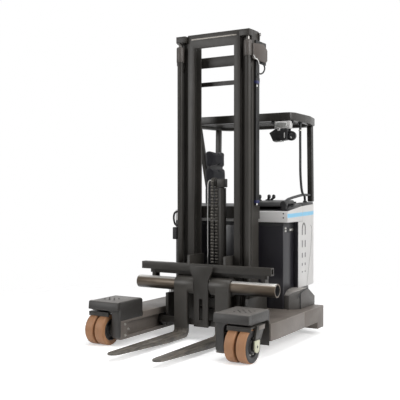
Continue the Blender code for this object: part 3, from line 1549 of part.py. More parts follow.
def main():
    clear_scene()
    dark_paint = paint("charcoal paint", (0.045, 0.041, 0.037), 0.55)
    frame_paint = paint("brownish grey paint", (0.140, 0.125, 0.112), 0.55)
    cover_paint = paint("dark grey cover", (0.085, 0.083, 0.075), 0.60)
    hood_grey = paint("light grey moulding", (0.460, 0.440, 0.415), 0.50)
    panel_grey = paint("pale grey moulding", (0.620, 0.610, 0.600), 0.50)
    battery_blue = paint("blue-black battery case", (0.012, 0.010, 0.018), 0.45)
    steel = paint("bright steel", (0.620, 0.600, 0.580), 0.22, 1.0)
    black = paint("black plastic", (0.018, 0.018, 0.018), 0.55)
    tan_tyre = paint("tan polyurethane", (0.430, 0.200, 0.085), 0.50)
    fabric = paint("black seat fabric", (0.020, 0.020, 0.022), 0.85)

    truck = body("truck", (0, 0, 0), None)
    truck.location = (0, -MIDDLE_OF_TRUCK_Y, 0)
    reach = body("reach_carriage_body", (0, REACH_FRONT_Y, REACH_BOTTOM), truck)
    middle = body("middle_mast_body", (0, MIDDLE_FRONT_Y, MIDDLE_BOTTOM), reach)
    inner = body("inner_mast_body", (0, INNER_FRONT_Y, INNER_BOTTOM), middle)
    head = body("free_lift_body", (FREE_LIFT_X, FREE_LIFT_Y, FREE_BARREL_TOP), inner)
    carriage = body("fork_carriage_body", (0, BEAM_FRONT_Y, BEAM_BOTTOM), inner)
    tilt = body("tilt_body", (0, SHAFT_Y, SHAFT_Z), carriage)
    trucks = {LEFT: truck, RIGHT: truck}
    forks = {}
    bogies = {}
    wheels = {}
    for label, side in SIDES:
        forks[side] = body(f"fork_body_{label}", (0, SHAFT_Y, SHAFT_Z), tilt)
        bogies[side] = body(
            f"bogie_body_{label}", (side * LOAD_WHEEL_X, BOGIE_PIVOT_Y, LOAD_WHEEL_RADIUS), truck
        )
        wheels[side] = body(
            f"load_wheel_body_{label}", (side * LOAD_WHEEL_X, 0, LOAD_WHEEL_RADIUS), bogies[side]
        )
    drive = body("drive_body", (0, DRIVE_Y, DRIVE_WHEEL_RADIUS), truck)
    drive_wheel = body("drive_wheel_body", (0, DRIVE_Y, DRIVE_WHEEL_RADIUS), drive)

    place_pair(wheel_arm(), "wheel_arm", trucks, frame_paint)
    place_pair(wheel_cover(), "wheel_cover", trucks, cover_paint)
    place(rear_frame(), "rear_frame", truck, frame_paint)
    place(battery(), "battery", truck, battery_blue)
    place_pair(fender(), "fender", trucks, cover_paint)
    place(hood(), "hood", truck, hood_grey)
    place(control_console(), "control_console", truck, black)
    place(body_panel_left(), "body_panel_left", truck, panel_grey)
    place(body_panel_right(), "body_panel_right", truck, panel_grey)
    place(drive_housing(), "drive_housing", truck, cover_paint)
    place(steering_console(), "steering_console", truck, black)
    place(seat_base(), "seat_base", truck, black)
    place(seat_cushion(), "seat_cushion", truck, fabric)
    place(seat_back(), "seat_back", truck, fabric)
    place(guard_frame(), "guard_frame", truck, dark_paint)
    place(guard_pillar_left(), "guard_pillar_left", truck, dark_paint)
    place(guard_pillar_right(), "guard_pillar_right", truck, dark_paint)
    place(guard_post(POST_LEFT_X), "guard_post_left", truck, dark_paint)
    place(guard_post(POST_RIGHT_X), "guard_post_right", truck, dark_paint)
    place(hand_rail(), "hand_rail", truck, black)
    place(work_lamps(), "work_lamps", truck, black)

    place_pair(bogie(), "bogie", bogies, dark_paint)
    offset = (LOAD_TYRE_WIDTH + LOAD_TYRE_GAP) / 2
    place_pair(load_tyre(LOAD_WHEEL_X + offset), "outer_load_tyre", wheels, tan_tyre)
    place_pair(load_tyre(LOAD_WHEEL_X - offset), "inner_load_tyre", wheels, tan_tyre)
    place_pair(load_hub(), "load_wheel_hub", wheels, black)
    place(drive_unit(), "drive_unit", drive, dark_paint)
    place(drive_tyre(), "drive_wheel", drive_wheel, tan_tyre)

    place(reach_carriage(), "reach_carriage", reach, dark_paint)
    place(outer_mast(), "outer_mast", reach, dark_paint)
    place_pair(lift_cylinder(), "lift_cylinder", {LEFT: reach, RIGHT: reach}, dark_paint)
    place(hose_run(), "hose_run", reach, black)
    place(middle_mast(), "middle_mast", middle, dark_paint)
    place_pair(lift_rod(), "lift_rod", {LEFT: middle, RIGHT: middle}, steel)
    place(inner_mast(), "inner_mast", inner, dark_paint)
    place(free_lift_cylinder(), "free_lift_cylinder", inner, dark_paint)
    place(free_lift_head(), "free_lift_head", head, dark_paint)
    place(lift_chain(), "lift_chain", head, steel)
    place(fork_carriage(), "fork_carriage", carriage, dark_paint)
    place(fork_shaft(), "fork_shaft", tilt, steel)
    place(tilt_frame(), "tilt_frame", tilt, dark_paint)
    place_pair(fork(), "fork", forks, dark_paint)


main()
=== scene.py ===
import json
import math

import bpy
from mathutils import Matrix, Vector

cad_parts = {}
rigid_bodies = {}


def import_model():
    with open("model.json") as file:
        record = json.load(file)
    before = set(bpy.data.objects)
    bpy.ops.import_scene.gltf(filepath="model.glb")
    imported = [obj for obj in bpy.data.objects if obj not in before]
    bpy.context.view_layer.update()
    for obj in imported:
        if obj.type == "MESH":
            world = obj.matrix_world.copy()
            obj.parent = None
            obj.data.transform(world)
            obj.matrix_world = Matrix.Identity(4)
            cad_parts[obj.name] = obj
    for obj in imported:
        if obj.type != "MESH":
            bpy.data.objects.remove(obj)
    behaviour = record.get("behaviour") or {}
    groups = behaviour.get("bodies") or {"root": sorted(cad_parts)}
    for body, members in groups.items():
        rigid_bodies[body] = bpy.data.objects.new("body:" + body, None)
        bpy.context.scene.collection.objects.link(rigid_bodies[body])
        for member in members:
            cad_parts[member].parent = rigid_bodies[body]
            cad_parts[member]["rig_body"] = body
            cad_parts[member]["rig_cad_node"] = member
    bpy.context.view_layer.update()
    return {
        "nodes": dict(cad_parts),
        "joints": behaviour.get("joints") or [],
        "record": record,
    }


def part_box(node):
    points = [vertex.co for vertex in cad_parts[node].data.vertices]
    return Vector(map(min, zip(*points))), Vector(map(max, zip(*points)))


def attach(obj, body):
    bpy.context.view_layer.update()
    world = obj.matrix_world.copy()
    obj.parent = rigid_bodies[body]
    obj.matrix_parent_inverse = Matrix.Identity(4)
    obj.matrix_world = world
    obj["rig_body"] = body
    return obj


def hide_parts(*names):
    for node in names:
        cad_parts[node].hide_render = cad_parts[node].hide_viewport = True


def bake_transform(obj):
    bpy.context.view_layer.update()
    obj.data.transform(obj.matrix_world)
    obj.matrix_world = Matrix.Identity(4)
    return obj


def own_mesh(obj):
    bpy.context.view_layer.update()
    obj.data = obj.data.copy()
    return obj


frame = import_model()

bl_info = {
    "name": "Reach Truck",
    "version": (1, 0, 0),
    "blender": (4, 5, 0),
    "location": "View3D > Sidebar > Reach Truck",
    "description": "Dresses a reach truck's frame with its finishes, trim and soft parts",
    "category": "Object",
}

LEFT = 1
RIGHT = -1
SIDES = (("left", LEFT), ("right", RIGHT))

# Camera, solved from the photo's parallel edges
CAMERA_PLACE = (3.4535, -6.0726, 1.415)
CAMERA_AZIMUTH = 30.536
CAMERA_PITCH = -0.6705
CAMERA_LENS = 65.06
SENSOR_WIDTH = 36.0

SLOT_OF = {row["node"]: row["material_slot"] for row in frame["record"]["subparts"]}
BODY_OF = {
    node: body for body, nodes in frame["record"]["behaviour"]["bodies"].items() for node in nodes
}
PIVOT_OF = {joint["child"]: joint.get("pos_m") for joint in frame["joints"]}


def colour_setting(label, about, default):
    return bpy.props.FloatVectorProperty(
        name=label, description=about, subtype="COLOR", size=3, min=0.0, max=1.0, default=default
    )


def length_setting(label, about, default):
    return bpy.props.FloatProperty(
        name=label, description=about, subtype="DISTANCE", unit="LENGTH", min=0.0, default=default
    )


class TruckColours(bpy.types.PropertyGroup):
    """Colours of the truck's finishes"""

    charcoal: colour_setting("Charcoal", "Paint of the mast, forks and guard", (0.034, 0.031, 0.027))
    chassis: colour_setting("Chassis", "Paint of the wheel arms and rear frame", (0.128, 0.110, 0.096))
    covers: colour_setting("Covers", "Coating of the wheel covers and fenders", (0.030, 0.028, 0.026))
    battery: colour_setting("Battery case", "Powder coat of the battery case", (0.015, 0.014, 0.018))
    panel: colour_setting("Side panels", "Moulded panels of the driver's place", (0.600, 0.590, 0.580))
    stripe: colour_setting("Stripe", "Stripe along the side panel", (0.200, 0.520, 0.740))
    black: colour_setting("Black mouldings", "Consoles, lamps and trim", (0.016, 0.016, 0.017))
    tyre: colour_setting("Tyres", "Polyurethane tread of the wheels", (0.330, 0.165, 0.080))
    rim: colour_setting("Rims", "Cast rims of the wheels", (0.022, 0.021, 0.021))
    keeper: colour_setting("Axle keepers", "Plated keepers on the load wheels' axles", (0.500, 0.500, 0.370))
    cloth: colour_setting("Seat cloth", "Woven cover of the seat", (0.020, 0.020, 0.023))
    hose_band: colour_setting("Hose bands", "Blue clips on the hose run", (0.026, 0.030, 0.105))


class TruckSizes(bpy.types.PropertyGroup):
    """Sizes of the truck's trim"""

    plate_edge: length_setting("Plate edge", "Round on the edges of thick plates", 0.0030)
    thin_edge: length_setting("Thin edge", "Round on the edges of thin parts", 0.0015)
    moulding_edge: length_setting("Moulding edge", "Round on the edges of mouldings", 0.0060)
    bolt: length_setting("Bolt head", "Width across a bolt's head", 0.019)
    small_bolt: length_setting("Small bolt head", "Width across a small bolt's head", 0.013)
    stud: length_setting("Step stud", "Width of a raised stud on the wheel covers", 0.016)


def colours():
    return bpy.context.scene.reach_truck_colours


def sizes():
    return bpy.context.scene.reach_truck_sizes


def deselect():
    if bpy.context.mode != "OBJECT":
        bpy.ops.object.mode_set(mode="OBJECT")
    bpy.ops.object.select_all(action="DESELECT")


def pick(*objects):
    """Selects these objects alone, with the first one active."""
    deselect()
    for obj in objects:
        obj.select_set(True)
    bpy.context.view_layer.objects.active = objects[0]
    return objects[0]


def settle(obj):
    """Puts an object's place, turn and scale into its mesh."""
    pick(obj)
    bpy.ops.object.transform_apply(location=True, rotation=True, scale=True)
    return obj


def edit(obj):
    pick(obj)
    bpy.ops.object.mode_set(mode="EDIT")
    bpy.ops.mesh.select_all(action="SELECT")


def leave():
    bpy.ops.object.mode_set(mode="OBJECT")
    return bpy.context.object


def rounded(obj, width, segments=2, angle=35.0, edge_wear_and_highlight=False):
    """Rounds an object's sharp edges; when asked, the round takes the second material: wear and a painted
    highlight along the edges.
    """
    pick(obj)
    bevel = obj.modifiers.new("edges", "BEVEL")
    bevel.width = width
    bevel.segments = segments
    bevel.limit_method = "ANGLE"
    bevel.angle_limit = math.radians(angle)
    bevel.material = 1 if edge_wear_and_highlight else -1
    bpy.ops.object.modifier_apply(modifier=bevel.name)
    return obj


def smoothed(obj, angle=35.0):
    pick(obj)
    bpy.ops.object.shade_smooth_by_angle(angle=math.radians(angle))
    return obj


def cuboid(x, y, z, edge=0.0, segments=2):
    """A block between two values of each of x, y and z, with rounded edges."""
    low = Vector((min(x), min(y), min(z)))
    high = Vector((max(x), max(y), max(z)))
    deselect()
    bpy.ops.mesh.primitive_cube_add(size=1.0, location=(low + high) / 2, scale=high - low)
    obj = settle(bpy.context.object)
    if edge:
        edit(obj)
        bpy.ops.mesh.bevel(offset=edge, segments=segments, affect="EDGES")
        leave()
    return obj


def rod(start, end, radius, vertices=24, edge=0.0):
    """A round bar between two points, with rounded rims."""
    start = Vector(start)
    end = Vector(end)
    turn = (end - start).to_track_quat("Z", "Y").to_euler()
    deselect()
    bpy.ops.mesh.primitive_cylinder_add(
        vertices=vertices,
        radius=radius,
        depth=(end - start).length,
        location=(start + end) / 2,
        rotation=turn,
    )
    obj = settle(bpy.context.object)
    if edge:
        rounded(obj, edge, 2, 60.0)
    return obj


def swept(outline, axis, start, end, edge=0.0, segments=2):
    """An outline of the other two coordinates, in the order of XYZ, swept along an axis."""
    index = "XYZ".index(axis)
    deselect()
    bpy.ops.mesh.primitive_circle_add(vertices=len(outline), radius=1.0, fill_type="NGON")
    obj = bpy.context.object
    for vertex, point in zip(obj.data.vertices, outline):
        place = list(point)
        place.insert(index, start)
        vertex.co = place
    travel = [0.0, 0.0, 0.0]
    travel[index] = end - start
    edit(obj)
    bpy.ops.mesh.extrude_region_move(TRANSFORM_OT_translate={"value": travel})
    bpy.ops.mesh.select_all(action="SELECT")
    bpy.ops.mesh.normals_make_consistent(inside=False)
    leave()
    return rounded(obj, edge, segments, 40.0) if edge else obj


def spun(profile, centre, axis, steps=48):
    """A closed profile of (radius, distance along the axis) turned once round the axis."""
    centre = Vector(centre)
    along = {"X": Vector((1, 0, 0)), "Y": Vector((0, 1, 0)), "Z": Vector((0, 0, 1))}[axis]
    out = Vector((0, 0, 1)) if axis != "Z" else Vector((1, 0, 0))
    deselect()
    bpy.ops.mesh.primitive_circle_add(vertices=len(profile), radius=1.0, fill_type="NOTHING")
    obj = bpy.context.object
    for vertex, (radius, distance) in zip(obj.data.vertices, profile):
        vertex.co = centre + out * radius + along * distance
    edit(obj)
    bpy.ops.mesh.spin(steps=steps, angle=2 * math.pi, center=centre, axis=along)
    bpy.ops.mesh.select_all(action="SELECT")
    bpy.ops.mesh.remove_doubles(threshold=0.00002)
    bpy.ops.mesh.normals_make_consistent(inside=False)
    return leave()


def pipe(points, radius, resolution=3, closed=False):
    """A tube along a smooth curve through points."""
    deselect()
    bpy.ops.curve.primitive_bezier_curve_add()
    route = bpy.context.object
    spline = route.data.splines[0]
    spline.bezier_points.add(len(points) - 2)
    for knot, point in zip(spline.bezier_points, points):
        knot.co = point
        knot.handle_left_type = "AUTO"
        knot.handle_right_type = "AUTO"
    spline.use_cyclic_u = closed
    route.location = (0, 0, 0)
    route.data.resolution_u = 8
    route.data.bevel_depth = radius
    route.data.bevel_resolution = resolution
    route.data.use_fill_caps = not closed
    pick(route)
    bpy.ops.object.convert(target="MESH")
    obj = bpy.context.object
    edit(obj)
    bpy.ops.mesh.remove_doubles(threshold=0.00002)
    bpy.ops.mesh.normals_make_consistent(inside=False)
    return leave()


def carved(obj, cutter, operation="DIFFERENCE"):
    """Cuts one closed shape by another, or keeps what both hold, and removes the cutter."""
    pick(obj)
    change = obj.modifiers.new("carve", "BOOLEAN")
    change.operation = operation
    change.object = cutter
    bpy.ops.object.modifier_apply(modifier=change.name)
    pick(cutter)
    bpy.ops.object.delete()
    return obj


def trimmed(obj, point, direction):
    """Cuts off the part of a shape that lies past a plane, and closes the cut."""
    edit(obj)
    bpy.ops.mesh.bisect(plane_co=point, plane_no=direction, use_fill=True, clear_outer=True)
    return leave()


def joined(*objects):
    pick(*objects)
    if len(objects) > 1:
        bpy.ops.object.join()
    return bpy.context.object


def copied(obj, move=(0, 0, 0)):
    """A copy with a mesh of its own, moved."""
    pick(obj)
    bpy.ops.object.duplicate()
    twin = bpy.context.object
    twin.location = twin.location + Vector(move)
    return settle(twin)


def across(obj):
    """A copy of a finished form on the other side of the truck's middle."""
    twin = copied(obj)
    twin.scale = (-1, 1, 1)
    settle(twin)
    edit(twin)
    bpy.ops.mesh.flip_normals()
    return leave()


def named(obj, name, slot, *materials, angle=35.0):
    """Gives a piece its name, its smooth faces and its finish."""
    settle(obj)
    smoothed(obj, angle)
    obj.name = name
    obj.data.name = name
    if materials:
        obj.data.materials.clear()
    for finish in materials:
        obj.data.materials.append(finish)
    return obj


def finished(obj, name, body, slot, *materials, angle=35.0):
    """A named piece that is seated on its body."""
    named(obj, name, slot, *materials, angle=angle)
    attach(obj, body)
    return obj


def moulding(obj, name, finish="black moulding", angle=35.0):
    """A plastic part on the truck's own body."""
    return finished(obj, name, "truck", "black_plastic", material(finish), angle=angle)


def both_sides(obj, name, bodies, slot, finish, angle=35.0):
    """A piece on the left and its twin on the right, on one body or on a pair of bodies."""
    if isinstance(bodies, str):
        bodies = (bodies, bodies)
    for piece, (label, _), body in zip((obj, across(obj)), SIDES, bodies):
        finished(piece, f"{name}_{label}", body, slot, material(finish), angle=angle)


def bare_copy(node):
    """A copy of a CAD node's form as one joined-up mesh with flat areas in single faces."""
    source = frame["nodes"][node]
    pick(source)
    bpy.ops.object.duplicate()
    twin = bpy.context.object
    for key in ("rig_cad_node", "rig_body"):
        if key in twin:
            del twin[key]
    twin.parent = None
    edit(twin)
    bpy.ops.mesh.remove_doubles(threshold=0.00003)
    bpy.ops.mesh.dissolve_limited(angle_limit=math.radians(0.6))
    return leave()


def dress(node, finish, edge_wear_and_highlight, edge, segments=2, angle=35.0):
    """Gives a CAD node's form rounded edges, worn and with a painted highlight, and its finish, in its own
    place.
    """
    piece = bare_copy(node)
    return coat(piece, node, finish, edge_wear_and_highlight, edge, segments, angle)


def coat(piece, node, finish, edge_wear_and_highlight, edge, segments=2, angle=35.0):
    """Rounds a node's form, gives it a finish and another one on its rounded edges, for wear and a painted
    highlight.
    """
    piece.data.materials.clear()
    for name in filter(None, (finish, edge_wear_and_highlight)):
        piece.data.materials.append(material(name))
    rounded(piece, edge, segments, angle, edge_wear_and_highlight is not None)
    finished(piece, f"{node}_dressed", BODY_OF[node], SLOT_OF[node])
    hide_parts(node)
    return piece


def bolt(place, direction, width, thickness=0.0):
    """A hexagon bolt head on its washer, which stands on a face along a direction."""
    place = Vector(place)
    direction = Vector(direction).normalized()
    height = thickness or width * 0.55
    washer = rod(place - direction * 0.001, place + direction * 0.0025, width * 0.62, 16, 0.0006)
    head = rod(place + direction * 0.002, place + direction * height, width * 0.5, 6, width * 0.05)
    return joined(washer, head)


def bolts(places, direction, width):
    """Like bolts on one face, joined as one mesh."""
    first = bolt(places[0], direction, width)
    others = [copied(first, Vector(place) - Vector(places[0])) for place in places[1:]]
    return joined(first, *others)


class Wiring:
    """Nodes being laid in a tree, for a material or the world."""

    def __init__(self, tree):
        self.tree = tree

    def node(self, kind, inputs=None, **values):
        made = self.tree.nodes.new(kind)
        for key, value in values.items():
            setattr(made, key, value)
        for key, value in (inputs or {}).items():
            if isinstance(value, bpy.types.NodeSocket):
                self.tree.links.new(value, made.inputs[key])
            else:
                made.inputs[key].default_value = value
        return made

    def ramp(self, factor, *stops):
        """Grey levels between stops of (position, level)."""
        made = self.node("ShaderNodeValToRGB", {"Fac": factor})
        elements = made.color_ramp.elements
        while len(elements) < len(stops):
            elements.new(0.5)
        for element, (position, level) in zip(elements, stops):
            element.position = position
            element.color = (level, level, level, 1.0)
        return made.outputs["Color"]

    def math(self, operation, first, second=0.0, third=0.0):
        return self.node(
            "ShaderNodeMath", {0: first, 1: second, 2: third}, operation=operation
        ).outputs["Value"]

    def mix(self, factor, first, second):
        """One colour over another by a factor; a colour is a socket or red, green and blue."""
        made = self.node("ShaderNodeMix", {"Factor": factor}, data_type="RGBA")
        for key, value in ((6, first), (7, second)):
            if isinstance(value, bpy.types.NodeSocket):
                self.tree.links.new(value, made.inputs[key])
            else:
                made.inputs[key].default_value = (*value, 1.0)
        return made.outputs[2]

    def range(self, factor, low, high, start=0.0, end=1.0):
        """A factor between start and end, spread evenly over low to high."""
        made = self.node(
            "ShaderNodeMapRange",
            {"Value": factor, "From Min": start, "From Max": end, "To Min": low, "To Max": high},
        )
        return made.outputs["Result"]

    def seen_directly(self, *kinds):
        """A factor that is 1 for these kinds of rays."""
        path = self.node("ShaderNodeLightPath").outputs
        total = path[f"Is {kinds[0]} Ray"]
        for kind in kinds[1:]:
            total = self.math("MAXIMUM", total, path[f"Is {kind} Ray"])
        return total


class Finish(Wiring):
    """A material being made: its shader, its nodes and the place on the piece."""

    def __init__(self, name, metallic=0.0, specular=0.5):
        self.material = bpy.data.materials.new(name)
        self.material.use_nodes = True
        super().__init__(self.material.node_tree)
        self.shader = self.tree.nodes["Principled BSDF"]
        self.shader.inputs["Metallic"].default_value = metallic
        self.shader.inputs["Specular IOR Level"].default_value = specular
        self.place = self.node("ShaderNodeTexCoord").outputs["Object"]

    def axes(self):
        """The place on the piece as its three coordinates."""
        return self.node("ShaderNodeSeparateXYZ", {"Vector": self.place}).outputs

    def noise(self, scale, detail=3.0, roughness=0.55, stretch=None):
        """Random clouds, drawn out along some axes where a stretch is given."""
        place = self.place
        if stretch:
            place = self.node("ShaderNodeMapping", {"Vector": place, "Scale": stretch}).outputs["Vector"]
        inputs = {"Vector": place, "Scale": scale, "Detail": detail, "Roughness": roughness}
        return self.node("ShaderNodeTexNoise", inputs).outputs["Fac"]

    def ribs(self, scale, axis):
        """Even ribs across an axis."""
        inputs = {"Vector": self.place, "Scale": scale}
        return self.node("ShaderNodeTexWave", inputs, bands_direction=axis).outputs["Fac"]

    def facing(self, axis):
        """How far a face looks along an axis of the truck, from -1 to 1."""
        normal = self.node("ShaderNodeNewGeometry").outputs["Normal"]
        return self.node("ShaderNodeSeparateXYZ", {"Vector": normal}).outputs[axis]

    def colour(self, socket):
        self.tree.links.new(socket, self.shader.inputs["Base Color"])

    def rough(self, factor, low, high):
        self.tree.links.new(self.range(factor, low, high), self.shader.inputs["Roughness"])

    def bump(self, height, distance, strength=0.6):
        made = self.node(
            "ShaderNodeBump", {"Height": height, "Distance": distance, "Strength": strength}
        )
        self.tree.links.new(made.outputs["Normal"], self.shader.inputs["Normal"])

    def clouded(self, colour, scale, detail, low, high):
        """A colour in soft clouds between two brightnesses."""
        return self.mix(self.noise(scale, detail), shade(colour, low), shade(colour, high))

    def spots(self, scale, detail, start, end, most=1.0, stretch=None):
        """Patches of noise over start, which are at their most from end on."""
        return self.ramp(self.noise(scale, detail, 0.7, stretch), (start, 0.0), (end, most))

    def grained(self, strength):
        """The fine leather grain of moulded plastic."""
        cells = self.node("ShaderNodeTexVoronoi", {"Vector": self.place, "Scale": 900.0})
        self.bump(cells.outputs["Distance"], 0.0003, strength)


def shade(colour, factor):
    return tuple(min(1.0, channel * factor) for channel in colour)


def painted(name, colour, rough=(0.36, 0.52), cloud=3.0, scuffs=0.25, peel=420.0, specular=0.4):
    """Sprayed paint: soft clouds in its tone, fine scuffs along X and Z, and orange peel."""
    finish = Finish(name, specular=specular)
    clouds = finish.ramp(finish.noise(cloud, 4.0), (0.35, 0.0), (0.7, 1.0))
    tone = finish.mix(clouds, shade(colour, 0.86), shade(colour, 1.12))
    marks = finish.spots(9.0, 6.0, 0.60, 0.78, scuffs, (1.0, 3.0, 0.35))
    finish.colour(finish.mix(marks, tone, shade(colour, 1.9)))
    finish.rough(finish.noise(22.0, 4.0), *rough)
    finish.bump(finish.noise(peel, 2.0), 0.0003, 0.25)
    return finish.material


def worn_and_highlit_edge(name, colour, factor=2.1):
    """The edge of a painted part, lighter and smoother in patches: rubbed wear, and a painted highlight
    where the edge catches the light.
    """
    finish = Finish(name)
    patches = finish.spots(34.0, 5.0, 0.38, 0.66)
    finish.colour(finish.mix(patches, shade(colour, 1.15), shade(colour, factor)))
    finish.rough(finish.noise(60.0, 3.0), 0.28, 0.45)
    finish.bump(finish.noise(300.0, 2.0), 0.0002, 0.2)
    return finish.material


def coated(name, colour):
    """Coarse textured coating, lighter on faces that look up: pale dust, and a painted sheen for the pale
    reflection that the tops catch.
    """
    finish = Finish(name)
    grain = finish.noise(420.0, 2.0, 0.6)
    speckle = finish.ramp(grain, (0.42, 0.0), (0.60, 1.0))
    tone = finish.mix(speckle, shade(colour, 0.82), shade(colour, 1.22))
    # Up-facing faces are painted much lighter: partly dust, partly a painted sheen.
    top = finish.ramp(finish.facing("Z"), (0.55, 0.0), (0.98, 1.0))
    dust_and_painted_sheen = finish.math("MULTIPLY", top, finish.noise(7.0, 5.0))
    finish.colour(finish.mix(dust_and_painted_sheen, tone, shade(colour, 7.0)))
    finish.rough(finish.noise(30.0, 3.0), 0.40, 0.56)
    finish.bump(grain, 0.0006, 0.5)
    return finish.material


def moulded(name, colour, rough=(0.42, 0.58)):
    """Moulded plastic with a fine leather grain and faint handling marks."""
    finish = Finish(name, specular=0.45)
    tone = finish.clouded(colour, 2.2, 3.0, 0.93, 1.06)
    finish.colour(finish.mix(finish.spots(14.0, 6.0, 0.58, 0.80, 0.30), tone, shade(colour, 0.70)))
    finish.rough(finish.noise(25.0, 4.0), *rough)
    finish.grained(0.35)
    return finish.material


# Stripe on the body's sides, with heights in metres above the floor
STRIPE_FRONT = 0.3141
STRIPE_BOTTOM = 1.161
STRIPE_RISE = 0.022
STRIPE_WIDTH = 0.039
STRIPE_BLUR = 0.003


def striped_panel(name, colour, stripe):
    """The pale moulded shell with a soft stripe along its sides, which rises towards the rear."""
    finish = Finish(name, specular=0.45)
    tone = finish.clouded(colour, 2.2, 3.0, 0.95, 1.04)
    tone = finish.mix(finish.spots(11.0, 6.0, 0.60, 0.82, 0.22), tone, shade(colour, 0.72))
    place = finish.axes()
    middle = STRIPE_BOTTOM + STRIPE_WIDTH / 2 - STRIPE_RISE * STRIPE_FRONT
    line = finish.math("MULTIPLY_ADD", place["Y"], -STRIPE_RISE, -middle)
    away = finish.math("ABSOLUTE", finish.math("ADD", place["Z"], line))
    half = STRIPE_WIDTH / 2
    band = finish.range(away, 0.0, 0.9, half + STRIPE_BLUR, half - STRIPE_BLUR)
    side = finish.math("GREATER_THAN", finish.math("ABSOLUTE", finish.facing("X")), 0.5)
    finish.colour(finish.mix(finish.math("MULTIPLY", band, side), tone, stripe))
    finish.rough(finish.noise(25.0, 4.0), 0.40, 0.55)
    finish.grained(0.3)
    return finish.material


def shaft_steel(name):
    """The fork shaft: a painted highlight on top, browned with old grease at its middle, and painted shade
    beneath.
    """
    finish = Finish(name, metallic=0.35)
    up = finish.facing("Z")
    grease = finish.noise(7.0, 5.0, 0.65, (1.0, 3.0, 3.0))
    brown = finish.mix(grease, (0.078, 0.058, 0.041), (0.190, 0.150, 0.110))
    # Painted highlight: faces that look up turn pale steel. Painted shade: faces that look down turn near
    # black.
    painted_top_highlight = finish.ramp(up, (0.66, 0.0), (0.93, 1.0))
    low = finish.range(up, 1.0, 0.0, -0.75, 0.05)
    tone = finish.mix(painted_top_highlight, brown, (0.80, 0.79, 0.76))
    finish.colour(finish.mix(low, tone, (0.018, 0.016, 0.014)))
    finish.rough(grease, 0.22, 0.46)
    finish.bump(finish.noise(90.0, 4.0, 0.7, (0.6, 9.0, 9.0)), 0.0002, 0.2)
    return finish.material


def polyurethane(name, colour):
    """Cast tread, a little mottled, with dark rubbed marks round it."""
    finish = Finish(name, specular=0.4)
    tone = finish.clouded(colour, 9.0, 4.0, 0.84, 1.12)
    rubbed = finish.spots(26.0, 6.0, 0.56, 0.80, 0.5, (6.0, 1.0, 1.0))
    finish.colour(finish.mix(rubbed, tone, shade(colour, 0.45)))
    finish.rough(finish.noise(40.0, 3.0), 0.42, 0.62)
    finish.bump(finish.noise(180.0, 3.0), 0.0004, 0.3)
    return finish.material


def bright_steel(name, colour, rough, along=(0.6, 9.0, 9.0)):
    """Ground and chromed steel with fine lines along its length."""
    finish = Finish(name, metallic=1.0)
    lines = finish.noise(60.0, 4.0, 0.7, along)
    finish.colour(finish.mix(lines, shade(colour, 0.78), shade(colour, 1.10)))
    finish.rough(finish.noise(20.0, 5.0, 0.6, along), *rough)
    finish.bump(lines, 0.0001, 0.15)
    return finish.material


def oiled_steel(name, colour):
    """Dark oiled steel with brighter rubbed spots."""
    finish = Finish(name, metallic=0.85)
    finish.colour(finish.mix(finish.spots(90.0, 5.0, 0.45, 0.70), colour, shade(colour, 2.4)))
    finish.rough(finish.noise(70.0, 3.0), 0.30, 0.55)
    finish.bump(finish.noise(400.0, 2.0), 0.0002, 0.3)
    return finish.material


def woven(name, colour):
    """Seat cloth: warp and weft as fine crossed ribs, with a soft sheen."""
    finish = Finish(name, specular=0.2)
    finish.shader.inputs["Sheen Weight"].default_value = 0.35
    finish.shader.inputs["Sheen Roughness"].default_value = 0.4
    cross = finish.math("MULTIPLY", finish.ribs(420.0, "Y"), finish.ribs(420.0, "Z"))
    tone = finish.clouded(colour, 8.0, 4.0, 0.7, 1.5)
    finish.colour(finish.mix(cross, tone, shade(colour, 1.9)))
    finish.rough(finish.noise(50.0, 3.0), 0.78, 0.95)
    finish.bump(cross, 0.0005, 0.6)
    return finish.material


def lamp_lens(name, colour):
    """A ribbed lens, silvery behind clear glass."""
    finish = Finish(name, metallic=0.6)
    finish.shader.inputs["Coat Weight"].default_value = 0.8
    finish.shader.inputs["Coat Roughness"].default_value = 0.05
    ribs = finish.ribs(60.0, "X")
    finish.colour(finish.mix(ribs, shade(colour, 0.8), shade(colour, 1.15)))
    finish.rough(finish.noise(30.0, 3.0), 0.18, 0.30)
    finish.bump(ribs, 0.0006, 0.5)
    return finish.material


# Height over which the forks' blades are rubbed, in metres
BLADE_TOP = 0.11


def fork_paint(name, colour):
    """Fork paint, the charcoal painted lighter than on the mast as a painted lit copy, rubbed to bare steel
    in streaks along the top of the blades.
    """
    finish = Finish(name, specular=0.45)
    clouds = finish.ramp(finish.noise(4.0, 4.0), (0.35, 0.0), (0.7, 1.0))
    # The charcoal is lifted to 1.15 to 1.75 times: a painted lit copy of the mast's paint.
    tone = finish.mix(clouds, shade(colour, 1.15), shade(colour, 1.75))
    height = finish.axes()["Z"]
    low = finish.range(height, 1.0, 0.0)
    blade = finish.math("GREATER_THAN", BLADE_TOP, height)
    streaks = finish.spots(16.0, 6.0, 0.40, 0.70, 0.75, (2.4, 0.3, 1.0))
    rubbed = finish.math("MULTIPLY", finish.math("MULTIPLY", streaks, blade), low)
    finish.colour(finish.mix(rubbed, tone, (0.270, 0.235, 0.195)))
    finish.rough(finish.noise(24.0, 4.0), 0.34, 0.50)
    finish.bump(finish.noise(420.0, 2.0), 0.0003, 0.25)
    return finish.material


